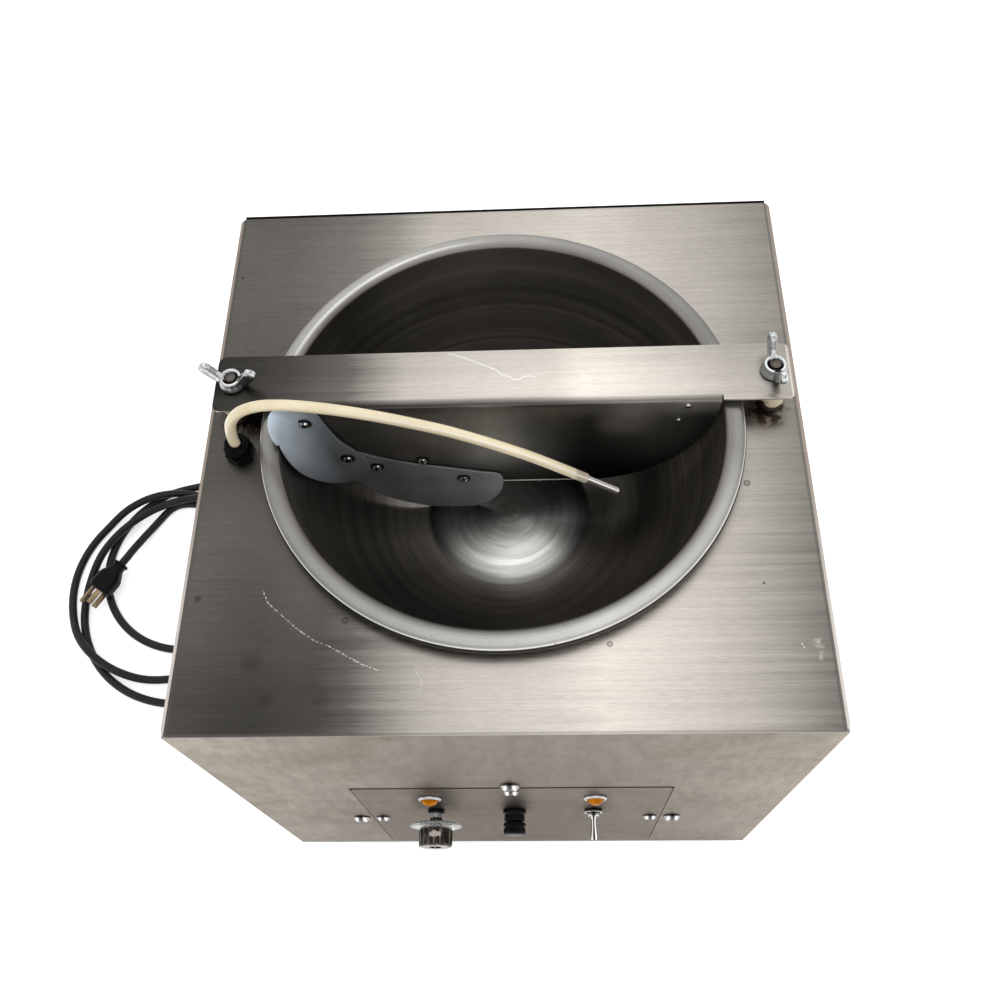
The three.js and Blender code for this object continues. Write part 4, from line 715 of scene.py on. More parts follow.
FINISHES = {
    "top": (sheet_steel, "brushed_top_steel", top_tone, "X", 0.33, 0.13, 0.07, top_marks),
    "front": (sheet_steel, "dull_front_steel", along_width(FRONT_FACE, (1.0, 0.92, 0.82)), "X", 0.46, 0.05,
        0.09, front_marks, DULL_EDGE),
    "side": (sheet_steel, "brushed_side_steel", along_width(((-0.21, 0.34), (0.21, 0.38))), "Y", 0.40, 0.06,
        0.09),
    "back": (sheet_steel, "brushed_back_steel", along_width(((-0.21, 0.26), (0.0, 0.33), (0.21, 0.27))),
        "X", 0.42, 0.05, 0.10),
    "plate": (sheet_steel, "control_plate_steel", along_width(PLATE_FACE, (1.0, 0.92, 0.82)), "X", 0.44,
        0.05, 0.09, plate_marks, DULL_EDGE),
    "bridge": (sheet_steel, "brushed_bridge_steel", along_width(BRIDGE_TOP), "X", 0.33, 0.12, 0.06,
        bridge_marks),
    "bowl": (bowl_steel, "spun_bowl_steel"),
    "galvanised": (plated, "galvanised_steel", (0.44, 0.45, 0.46), 0.42, 0.35),
    "zinc": (plated, "zinc_plate", (0.78, 0.81, 0.80), 0.12, 0.22, 0.95),
    "chrome": (plated, "chrome_plate", (0.80, 0.80, 0.79), 0.08, 0.12),
    "dull_zinc": (plated, "dull_stud_steel", (0.125, 0.11, 0.095), 0.36, 0.4),
    "dome": (plated, "domed_screw_steel", (0.84, 0.83, 0.80), 0.10, 0.1, 1.0, DOME_BANDS),
    "rod": (plated, "bright_rod_chrome", (0.95, 0.93, 0.89), 0.08, 0.08, 1.0, ROD_BANDS),
    "dark_zinc": (plated, "dark_washer_steel", (0.07, 0.065, 0.06), 0.35, 0.3),
    "brass": (plated, "tarnished_brass", (0.32, 0.24, 0.15), 0.32, 0.4),
    "element": (plated, "heater_sheath", (0.30, 0.27, 0.25), 0.45, 0.4),
    "nylon": (spacer_nylon, "natural_nylon"),
    "blade": (blade_plastic, "milky_blade_plastic"),
    "sleeve": (sleeve_plastic, "cream_sleeve_plastic"),
    # The probe tip has painted reflection bands along it and a painted glow
    "tip": (plated, "probe_tip_steel", (0.95, 0.90, 0.86), 0.20, 0.10, 1.0, None, 0.2, TIP_BANDS, 0.55),
    "gloss": (moulded, "glossy_black_nylon", (0.0015, 0.0015, 0.0015), 0.12, 400.0, 0.00003, 0.02,
        (0.03, 0.027, 0.023), dict(Specular_IOR_Level=0.06)),
    "black": (moulded, "black_moulded_plastic", (0.004, 0.004, 0.004), 0.26, 500.0, 0.00003, 0.12,
        (0.04, 0.035, 0.03), dict(Specular_IOR_Level=0.08)),
    "ribbed": (moulded, "black_relief_rubber", (0.010, 0.010, 0.010), 0.40, 500.0, 0.0001,
        dict(Specular_IOR_Level=0.25)),
    "rubber": (moulded, "black_foot_rubber", (0.008, 0.008, 0.008), 0.55, 900.0, 0.00008, 0.25,
        (0.05, 0.045, 0.04), dict(Specular_IOR_Level=0.2)),
    "cord": (cord_jacket, "black_cord_jacket"),
    "amber": (lens_plastic, "amber_lens_plastic"),
    "smoke": (smoked_plastic, "smoked_knob_plastic"),
    "clear": (moulded, "clear_skirt_plastic", (0.92, 0.93, 0.92), 0.10, 300.0, 0.00002, 0.12,
        (0.7, 0.68, 0.62), dict(Transmission_Weight=0.85, IOR=1.49)),
    "inlay": (plated, "knob_inlay_metal", (0.62, 0.60, 0.56), 0.28, 0.2),
    "print": (moulded, "white_print", (0.78, 0.78, 0.76), 0.5, 900.0, 0.00001, 0.1),
    "paint": (moulded, "grey_motor_paint", (0.13, 0.14, 0.15), 0.42, 500.0, 0.00008, 0.3),
    "board": (moulded, "green_board", (0.03, 0.12, 0.05), 0.45, 600.0, 0.00004, 0.2),
    "glass": (moulded, "fuse_glass", (0.85, 0.88, 0.88), 0.08, 300.0, 0.00001, 0.1, (0.6, 0.6, 0.58),
        dict(Transmission_Weight=0.8, IOR=1.5)),
}
MADE = {}


def finish(name):
    if name not in MADE:
        make, *values = FINISHES[name]
        settings = values.pop() if isinstance(values[-1], dict) else {}
        MADE[name] = make(*values, **settings)
    return MADE[name]


# Mesh tools


def lathe(bm, profile, segments=72):
    """Turns a profile of radii and heights about +Z, closed unless both ends are on the axis."""
    made = [bm.verts.new((radius, 0, height)) for radius, height in profile]
    pairs = list(zip(made, made[1:]))
    if profile[0][0] > 0 or profile[-1][0] > 0:
        pairs.append((made[-1], made[0]))
    edges = [bm.edges.new(pair) for pair in pairs]
    bmesh.ops.spin(bm, geom=made + edges, cent=(0, 0, 0), axis=(0, 0, 1), angle=2 * math.pi, steps=segments,
                   use_merge=True, use_duplicate=False)
    bmesh.ops.remove_doubles(bm, verts=bm.verts, dist=1e-7)
    bmesh.ops.recalc_face_normals(bm, faces=bm.faces)


def mm(*rows):
    """Rows of sizes that are given in mm, in metres."""
    return [tuple(size / 1000 for size in row) for row in rows]


def rounded(points, radius, steps=4):
    """Rounds the inner corners of a profile, each by a radius that its sides have room for."""
    result = [points[0]]
    for before, corner, after in zip(points, points[1:], points[2:]):
        corner = Vector(corner)
        back, on = Vector(before) - corner, Vector(after) - corner
        if back.length < 1e-9 or on.length < 1e-9 or abs(back.angle(on) - math.pi) < 0.05:
            result.append(tuple(corner))
            continue
        cut = min(radius, back.length * 0.48, on.length * 0.48)
        start, end = corner + back.normalized() * cut, corner + on.normalized() * cut
        for step in range(steps + 1):
            t = step / steps
            result.append(tuple((1 - t) ** 2 * start + 2 * t * (1 - t) * corner + t * t * end))
    result.append(points[-1])
    return result


def bevel(bm, edges, width, segments):
    bmesh.ops.bevel(bm, geom=edges, offset=width, offset_type="OFFSET", segments=segments, profile=0.5,
                    affect="EDGES", clamp_overlap=True, material=-1)


def sharp_edges(bm, limit):
    return [edge for edge in bm.edges if len(edge.link_faces) == 2
            and edge.calc_face_angle() > math.radians(limit)]


def bevel_sharp(bm, width, segments=3, limit=35.0):
    bmesh.ops.remove_doubles(bm, verts=bm.verts, dist=1e-6)
    bmesh.ops.dissolve_limit(bm, angle_limit=math.radians(1), verts=bm.verts, edges=bm.edges)
    bevel(bm, sharp_edges(bm, limit), width, segments)


def thicken(bm, thickness, limit):
    """Gives a bent face its thickness and rounds its cut edges."""
    bmesh.ops.solidify(bm, geom=list(bm.faces), thickness=thickness)
    bmesh.ops.recalc_face_normals(bm, faces=bm.faces)
    bevel(bm, sharp_edges(bm, limit), CUT_EDGE, 2)


def slice_at(bm, spot, normal, reach=1e-6, **settings):
    return bmesh.ops.bisect_plane(bm, geom=[*bm.verts, *bm.edges, *bm.faces], dist=reach, plane_co=spot,
                                  plane_no=normal, **settings)["geom_cut"]


def as_mesh(name, bm):
    mesh = bpy.data.meshes.new(name)
    bm.to_mesh(mesh)
    bm.free()
    return mesh


def in_scene(name, data):
    made = bpy.data.objects.new(name, data)
    bpy.context.scene.collection.objects.link(made)
    return made


def merge(bm, part, matrix):
    """Adds one bmesh to another at a place, and frees it."""
    part.transform(matrix)
    mesh = as_mesh("part", part)
    bm.from_mesh(mesh)
    bpy.data.meshes.remove(mesh)


def show(name, bm, looks, *replaces, body=None, slot=None, crease=35.0):
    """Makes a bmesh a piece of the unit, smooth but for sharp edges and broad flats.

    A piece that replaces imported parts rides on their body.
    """
    for face in bm.faces:
        face.smooth = face.calc_area() < BROAD_FLAT
    for edge in bm.edges:
        edge.smooth = len(edge.link_faces) == 2 and edge.calc_face_angle(0) < math.radians(crease)
    piece = in_scene(name, as_mesh(name, bm))
    piece.data.materials.append(finish(looks))
    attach(piece, body or body_of(replaces[0]))
    if replaces:
        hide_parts(*replaces)
    return piece


def softened(node, looks, width):
    """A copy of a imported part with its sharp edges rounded."""
    bm = bmesh.new()
    bm.from_mesh(frame["nodes"][node].data)
    bevel_sharp(bm, width)
    return show("soft_" + node, bm, looks, node, crease=30.0)


def body_of(node):
    bodies = frame["record"]["behaviour"]["bodies"]
    return next(body for body, nodes in bodies.items() if node in nodes)


def turned(name, profile, place, looks, *replaces, segments=48, **settings):
    """A piece turned about +Z and set at a place."""
    bm = bmesh.new()
    add_lathe(bm, profile, place, segments)
    return show(name, bm, looks, *replaces, **settings)


def add_box(bm, size, matrix, edge=0.0, segments=2):
    made = bmesh.ops.create_cube(bm, size=1.0, matrix=matrix @ Matrix.Diagonal((*size, 1)))["verts"]
    if edge:
        bevel(bm, list({side for vert in made for side in vert.link_edges}), edge, segments)


def add_lathe(bm, profile, matrix, segments=48):
    part = bmesh.new()
    lathe(part, profile, segments)
    merge(bm, part, matrix)


def smooth_route(points, steps):
    """Points of a smooth curve through the given ones."""
    padded = [2 * points[0] - points[1], *points, 2 * points[-1] - points[-2]]
    route = []
    for a, b, c, d in zip(padded, padded[1:], padded[2:], padded[3:]):
        for step in range(steps):
            t = step / steps
            route.append(0.5 * (2 * b + (c - a) * t + (2 * a - 5 * b + 4 * c - d) * t * t
                                + (3 * b - a - 3 * c + d) * t ** 3))
    return [*route, points[-1]]


def tube_curve(name, route, radius, roundness=6):
    data = bpy.data.curves.new(name, "CURVE")
    data.dimensions = "3D"
    data.bevel_depth = radius
    data.bevel_resolution = roundness
    data.use_fill_caps = True
    spline = data.splines.new("POLY")
    spline.points.add(len(route) - 1)
    for point, place in zip(spline.points, route):
        point.co = (*place, 1)
        point.radius = 1.0
    spline.use_smooth = True
    return in_scene(name, data)


def as_bmesh(temporary):
    """The mesh of a temporary object with its modifiers, after which the object is gone."""
    graph = bpy.context.evaluated_depsgraph_get()
    mesh = bpy.data.meshes.new_from_object(temporary.evaluated_get(graph))
    bm = bmesh.new()
    bm.from_mesh(mesh)
    bm.transform(temporary.matrix_world)
    bpy.data.meshes.remove(mesh)
    bpy.data.objects.remove(temporary)
    return bm


# Cord


CORD_RADIUS = 0.0041
# Height of the cord's middle where it lies on the table, in mm
REST = 4.25


def metres(points):
    return [Vector(point) / 1000 for point in points]


def smoothstep(value, low, high):
    t = min(max((value - low) / (high - low), 0.0), 1.0)
    return t * t * (3 - 2 * t)


def loop_point(degrees):
    """A point of the three loops that lie beside the cabinet, one on another."""
    loops = ((-347, 99, 96), (-371, 77, 106), (-346, 61, 115), (-352, 78, 85))
    turn = min(int((degrees - 90) // 360), 3)
    past = degrees - 90 - 360 * turn
    blend = 0 if turn == 3 else smoothstep(past, 185, (350, 350, 300)[turn])
    following = loops[min(turn + 1, 3)]
    x, y, radius = (a + (b - a) * blend for a, b in zip(loops[turn], following))
    lift = 0.0
    for low, high, ramp in ((464, 474, 30), (584, 592, 34), (800, 866, 36), (1045, 1098, 17)):
        away = max(low - degrees, degrees - high, 0) / ramp
        if away < 1:
            lift = max(lift, math.cos(away * math.pi / 2) ** 2)
    angle = math.radians(degrees)
    return Vector((x + radius * math.cos(angle), y + radius * math.sin(angle), REST + 9.1 * lift)) / 1000


def cord_route():
    lead = metres([
        (-140, 233.5, 42), (-140, 241.7, 42), (-140.5, 270, 40), (-143, 284, 34.5), (-149, 297, 26.5),
        (-159, 308, 18), (-173, 315, 10.5), (-190, 316, 5.8), (-208, 311, REST), (-225, 301, REST),
        (-241, 288, REST), (-256, 273, REST), (-270, 258, REST), (-284, 242, REST), (-298, 226, REST),
        (-310.5, 213, REST), (-324, 202.5, REST)])
    coil = [loop_point(95 + 15 * i) for i in range(71)]
    tail = metres([
        (-345, 169.4, REST), (-360.5, 172.4, REST), (-373, 172.4, REST), (-382.5, 169, REST),
        (-389.5, 162.7, REST), (-395.3, 154.3, 4.6), (-401.9, 143.2, 5.9), (-407.6, 132, 8.8),
        (-411.6, 121.8, 12.5), (-415.2, 112, 16.2), (-419, 102.6, 18.5), (-423.4, 95.5, 18.5)])
    return [*lead, *coil[1:], *tail]


def sweep(bm, stations, segments=32, outline=None):
    """Extrudes a disc through stations. Each is a matrix that places the disc, whose outline may be changed."""
    made = bmesh.ops.create_circle(bm, cap_ends=True, radius=1.0, segments=segments)["verts"]
    face = made[0].link_faces[0]
    flat = [outline(vert.co.copy()) if outline else vert.co.copy() for vert in made]
    for vert, spot in zip(made, flat):
        vert.co = stations[0] @ spot
    order = {tuple(vert.co): index for index, vert in enumerate(made)}
    for matrix in stations[1:]:
        new = bmesh.ops.extrude_face_region(bm, geom=[face])["geom"]
        face = next(item for item in new if isinstance(item, bmesh.types.BMFace))
        following = {}
        for vert in face.verts:
            index = order[tuple(vert.co)]
            vert.co = matrix @ flat[index]
            following[tuple(vert.co)] = index
        order = following
    bmesh.ops.recalc_face_normals(bm, faces=bm.faces)


def disc(height, radius, across=None, turn=0.0):
    """A station of a sweep along +Z: a disc at a height, with its two half widths."""
    return (Matrix.Translation((0, 0, height)) @ Matrix.Rotation(turn, 4, "Z")
            @ Matrix.Diagonal((radius, radius if across is None else across, 1, 1)))


def squarish(power):
    """An outline between a circle, at two, and a square."""
    def outline(spot):
        x, y = spot.x, spot.y
        size = (abs(x) ** power + abs(y) ** power) ** (-1 / power)
        return Vector((x * size, y * size, 0))
    return outline


def rippled(count, depth, sharp=1.0):
    """An outline with ribs all round."""
    def outline(spot):
        angle = math.atan2(spot.y, spot.x)
        return spot * (1 - depth * (0.5 - 0.5 * math.cos(count * angle)) ** sharp)
    return outline


def threaded(bm, radius, low, high, pitch, depth, segments=40):
    """A rod with a screw thread cut all the way up."""
    stations = [disc(low, radius - depth)]
    rings = round((high - low) / pitch * 6)
    made_from = len(bm.verts)
    stations += [disc(low + (high - low) * i / rings, radius) for i in range(1, rings)]
    stations.append(disc(high, radius - depth))
    sweep(bm, stations, segments)
    bm.verts.ensure_lookup_table()
    for vert in bm.verts[made_from:]:
        reach = Vector((vert.co.x, vert.co.y)).length
        if low < vert.co.z < high and reach > radius * 0.99:
            turn = (vert.co.z - low) / pitch - math.atan2(vert.co.y, vert.co.x) / (2 * math.pi)
            share = 1 - depth / radius * abs(2 * (turn % 1) - 1)
            vert.co.x *= share
            vert.co.y *= share


def add_screw(bm, radius, height, matrix, slotted=False):
    """A pan head from zero upwards, with a cross recess or one slot right across it."""
    head_bm = bmesh.new()
    lathe(head_bm, rounded([(radius, 0), (radius, height * 0.35), (radius * 0.62, height), (0, height)],
                           height * 0.8, 6), 48)
    tool_bm = bmesh.new()
    reach, narrow, low = (1.1, 0.14, 0.5) if slotted else (0.56, 0.15, 0.35)
    for turn in (0.4,) if slotted else (0.4, 0.4 + math.pi / 2):
        sweep(tool_bm, [Matrix.Rotation(turn, 4, "Z") @ disc(height * low,
                                                             radius * (1.1 if slotted else 0.12),
                                                             radius * (0.12 if slotted else 0.05)),
                        Matrix.Rotation(turn, 4, "Z") @ disc(height * 1.2, radius * reach,
                                                             radius * narrow)], 4, squarish(30.0))
    head, tool = in_scene("head", as_mesh("head", head_bm)), in_scene("tool", as_mesh("tool", tool_bm))
    cut = head.modifiers.new("cut", "BOOLEAN")
    cut.operation = "DIFFERENCE"
    cut.object = tool
    cut.solver = "EXACT"
    cut.use_self = True
    made = as_bmesh(head)
    bpy.data.objects.remove(tool)
    merge(bm, made, matrix)


def towards(direction, start):
    """Turns +Z into a direction at a start point."""
    return Matrix.Translation(start) @ Vector(direction).to_track_quat("Z", "Y").to_matrix().to_4x4()


def on_front(x, z, y=None):
    return Matrix.Translation((x, FRONT_Y if y is None else y, z)) @ FORWARD


# Sizes and colours that a user may change


def colour(name, description, default):
    return bpy.props.FloatVectorProperty(name=name, description=description, subtype="COLOR", size=3, min=0,
                                         max=1, default=default)


class MELTER_PG_looks(bpy.types.PropertyGroup):
    edge_radius: bpy.props.FloatProperty(name="Edge radius",
                                         description="Rounding of the sheet metal's edges", default=0.0005,
                                         min=0.0001, max=0.0015, unit="LENGTH", precision=5)
    bowl_facets: bpy.props.IntProperty(name="Bowl facets", description="Faces around the bowl and its rim",
                                       default=192, min=48, max=360)
    knob_ribs: bpy.props.IntProperty(name="Knob ribs", description="Grip ribs around the temperature knob",
                                     default=20, min=8, max=40)
    lens_facets: bpy.props.IntProperty(name="Lens facets", description="Cut faces around each lamp lens",
                                       default=10, min=6, max=24)
    lens_colour: colour("Lens", "Colour of the lamp lenses", (0.66, 0.21, 0.002))
    sleeve_colour: colour("Probe sleeve", "Colour of the plastic sleeve over the probe", (0.92, 0.81, 0.57))
    blade_colour: colour("Blades", "Colour of the milky scraper blades where they lie flat",
                         (0.19, 0.20, 0.205))
    cord_colour: colour("Cord", "Colour of the mains cord's jacket", (0.009, 0.009, 0.009))
    floor_colour: colour("Floor", "Colour of the studio floor", (1.0, 1.0, 1.0))


def looks():
    return bpy.context.scene.melter_looks


class Maker:
    """What every operator of the panel shares."""
    bl_options = {"REGISTER"}

    def execute(self, context):
        self.make()
        return {"FINISHED"}


class MELTER_OT_camera(Maker, bpy.types.Operator):
    """Sets the camera at the photograph's viewing angle"""
    bl_idname = "melter.camera"
    bl_label = "Camera"

    def make(self):
        data = bpy.data.cameras.new("photo_camera")
        data.sensor_width = 36
        data.lens = 36.43
        camera = in_scene("photo_camera", data)
        camera.location = EYE
        camera.rotation_euler = (0.4798, 0.0493, 0.0040)
        bpy.context.scene.camera = camera


class MELTER_OT_cord(Maker, bpy.types.Operator):
    """Lays the mains cord in its loops, with its plug and strain relief"""
    bl_idname = "melter.cord"
    bl_label = "Cord and plug"

    def make(self):
        route = [Vector((spot.x, spot.y, max(spot.z, CORD_RADIUS + 0.0001)))
                 for spot in smooth_route(cord_route(), 6)]
        cord = tube_curve("mains_cord", route, CORD_RADIUS)
        cord.data.materials.append(finish("cord"))
        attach(cord, "cabinet")
        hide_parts("cord_lead", "cord_coil", "cord_tail")
        plug = self.plug(route[-1], (route[-1] - route[-2]).normalized())
        relief = self.relief()
        length = sum((b - a).length for a, b in zip(route, route[1:]))
        tuple(route[0])

    def plug(self, end, heading):
        place = towards(heading, end)
        up = (place.inverted().to_3x3() @ Vector((0, 0, 1))).normalized()
        place = place @ Matrix.Rotation(math.atan2(up.y, up.x) - math.pi / 2, 4, "Z")
        shares = (
            (0.0, 0.30, 0.32), (0.01, 0.56, 0.60), (0.05, 0.60, 0.66), (0.085, 0.60, 0.66),
            (0.10, 0.52, 0.58), (0.14, 0.48, 0.56), (0.22, 0.52, 0.60), (0.34, 0.72, 0.74),
            (0.48, 0.94, 0.90), (0.58, 1.0, 0.98), (0.80, 0.99, 1.0), (0.95, 0.96, 0.98),
            (0.985, 0.93, 0.95), (1.0, 0.86, 0.88))
        bm = bmesh.new()
        sweep(bm, [disc(0.036 * along, 0.013 * wide, 0.0095 * high) for along, wide, high in shares], 40,
              squarish(3.2))
        bm.transform(place)
        body = show("plug_body", bm, "black", "plug", slot="black_rubber", crease=40)
        bm = bmesh.new()
        for side in (-1, 1):
            centre = Matrix.Translation((0.004, side * 0.00635, 0.0442))
            add_box(bm, (0.0063, 0.0015, 0.0172), place @ centre, 0.0004, 3)
        add_lathe(bm, rounded(mm((2.4, 30), (2.4, 55.5), (0, 56)), 0.002, 5),
                  place @ Matrix.Translation((0.004 - 0.0119, 0, 0)), 32)
        prongs = show("plug_prongs", bm, "brass", body="cabinet", slot="zinc_plate")
        return [body, prongs]

    def relief(self):
        centre = middle("strain_relief")
        profile = mm((4.3, -7.5), (8, -7.5), (8, 0.3), (11, 0.3), (11, 3.3), (8, 3.3))
        for i in range(6):
            low = 0.0052 + i * 0.0040
            wide = 0.0080 - i * 0.00045
            profile += [
                (wide, low), (wide - 0.0014, low + 0.0004), (wide - 0.0014, low + 0.0018),
                (wide - 0.0001, low + 0.0022)]
        profile += [(0.0056, 0.0300), (0.0043, 0.0300)]
        place = Matrix.Translation((centre.x, BACK_Y, centre.z)) @ Matrix.Rotation(math.radians(-90), 4,
                                                                                   "X")
        return turned("ribbed_strain_relief", rounded(profile, 0.0004, 2), place, "ribbed", "strain_relief")


class MELTER_OT_cabinet(Maker, bpy.types.Operator):
    """Softens the cabinet's panels and adds a dark strip along the top's rear edge, the rivet and the feet"""
    bl_idname = "melter.cabinet"
    bl_label = "Cabinet"

    def make(self):
        edge = looks().edge_radius
        for node, surface in (
                ("top_panel", "top"), ("front_panel", "front"), ("side_panel_left", "side"),
                ("side_panel_right", "side"), ("back_panel", "back"), ("base_pan", "galvanised"),
                ("control_plate", "plate"), ("plate_strap_left", "galvanised"),
                ("plate_strap_right", "galvanised"), ("plate_strap_top", "galvanised")):
            softened(node, surface, edge)
        for side in ("front_left", "front_right", "rear_left", "rear_right"):
            softened("foot_" + side, "rubber", 0.0008)
        bm = bmesh.new()
        place = Matrix.Translation((0, BACK_Y + 0.0009, TOP_Z - 0.0062))
        add_box(bm, (2 * -LEFT_X - 0.006, 0.0016, 0.014), place, 0.0005)
        show("rear_dark_strip", bm, "black", body="cabinet", slot="black_plastic")
        bm = bmesh.new()
        profile = rounded(mm((3.4, 0), (3, 0.9), (1.2, 1.6), (0, 1.6)), 0.001, 4)
        for side, y, z in itertools.product((-1, 1), (-0.176, 0.204), (0.052, 0.19, 0.33)):
            add_lathe(bm, profile, towards((side, 0, 0), (side * -LEFT_X, y, z)), 28)
        show("side_rivets", bm, "zinc", body="cabinet", slot="zinc_plate")


class MELTER_OT_bowl(Maker, bpy.types.Operator):
    """Spins the bowl with its rolled rim"""
    bl_idname = "melter.bowl"
    bl_label = "Bowl"

    def make(self):
        wall, floor, mouth, edge = 0.0012, 0.0630, BOWL_MOUTH, 0.003
        floor_z = BOWL_LOW.z + wall
        inner, outer = [], []
        for i in range(37):
            angle = i * math.pi / 72
            for offset, side in ((0, inner), (wall, outer)):
                side.append((floor + (mouth - floor + offset) * math.sin(angle),
                             floor_z - offset + (RIM_Z - floor_z - edge + offset) * (1 - math.cos(angle))))
        rim = BOWL_HIGH.x
        # The rolled lip: across from the mouth or the rim, and down from the top
        lip = [(mouth + across, RIM_Z - down)
               for across, down in mm((0.2, 1.8), (0.9, 0.7), (2.2, 0.1), (4.5, 0))]
        lip += [(rim + across, RIM_Z - down)
                for across, down in mm((-4.5, 0.2), (-2.5, 0.6), (-1.1, 1.6), (-0.3, 3), (0, 4.8), (-0.2, 6.6),
                                       (-1, 8.1), (-2.2, 8.8), (-3.4, 8.5), (-4, 7.4), (-3.4, 6.6), (-1.6, 6),
                                       (-1.4, 4.4), (-2, 2.8), (-3.8, 1.6))]
        lip += [(mouth + across, RIM_Z - down) for across, down in mm((4, 1.3), (2.2, 2))]
        profile = [(0, floor_z), *inner, *lip, *reversed(outer), (0, floor_z - wall)]
        turned("spun_bowl", profile, Matrix.Translation((BOWL_X, BOWL_Y, 0)), "bowl", "bowl",
               segments=looks().bowl_facets, crease=50)


class MELTER_OT_bridge(Maker, bpy.types.Operator):
    """Folds the bridge with its hanging divider out of one sheet, with its small fasteners"""
    bl_idname = "melter.bridge"
    bl_label = "Divider bridge"

    def make(self):
        back, front = BRIDGE_HIGH.y, BRIDGE_LOW.y
        bend, sheet, reach, slit = 0.004, 0.0015, 0.1475, 0.0008
        wide = back - front
        fold = wide - bend
        down = fold + bend * math.pi / 2
        flat_share, drop = 0.4 * BOWL_MOUTH, RIM_Z - BRIDGE_LOW.z
        low = [(-reach, down + BRIDGE_HIGH.z - bend - RIM_Z)]
        curve = reach - flat_share
        for i in range(1, 31):
            angle = i * math.pi / 60
            low.append((-flat_share - curve * math.cos(angle), low[0][1] + drop * math.sin(angle)))
        half, corner = BRIDGE_HIGH.x, 0.006
        left = [(-reach, fold), (-reach - slit, fold), (-reach - slit, wide - 0.0002)]
        left += rounded([(-reach - slit, wide), (-half, wide), (-half, 0), (-reach, 0)], corner, 6)[1:-1]
        outline = [*left, *((-x, s) for x, s in reversed(left)), *((-x, s) for x, s in low), *reversed(low)]
        bm = bmesh.new()
        bm.faces.new([bm.verts.new((x, s, 0)) for x, s in outline])
        for i in range(9):
            slice_at(bm, (0, fold + (down - fold) * i / 8, 0), (0, 1, 0), 1e-7)
        for vert in bm.verts:
            x, s = vert.co.x, vert.co.y
            if abs(x) > reach + slit / 2 or s <= fold:
                vert.co = (x, back - s, BRIDGE_HIGH.z)
            elif s < down:
                angle = (s - fold) / bend
                vert.co = (x, front + bend - bend * math.sin(angle),
                           BRIDGE_HIGH.z - bend + bend * math.cos(angle))
            else:
                vert.co = (x, front, BRIDGE_HIGH.z - bend - (s - down))
        bmesh.ops.recalc_face_normals(bm, faces=bm.faces)
        if next(face for face in bm.faces if abs(face.normal.z) > 0.9).normal.z < 0:
            bmesh.ops.reverse_faces(bm, faces=bm.faces)
        thicken(bm, sheet, 50)
        show("folded_bridge", bm, "bridge", "divider", crease=40)
        bm = bmesh.new()
        for x, z, radius in ((0.1255, 0.4107, 0.0021), (0.1210, 0.3936, 0.0018)):
            add_lathe(bm, rounded([(radius, 0), (radius, 0.0008), (radius * 0.6, 0.0016), (0, 0.0016)],
                                  0.0008, 4), Matrix.Translation((x, front, z)) @ FORWARD, 24)
        show("divider_rivets", bm, "zinc", body="divider_bridge", slot="zinc_plate")


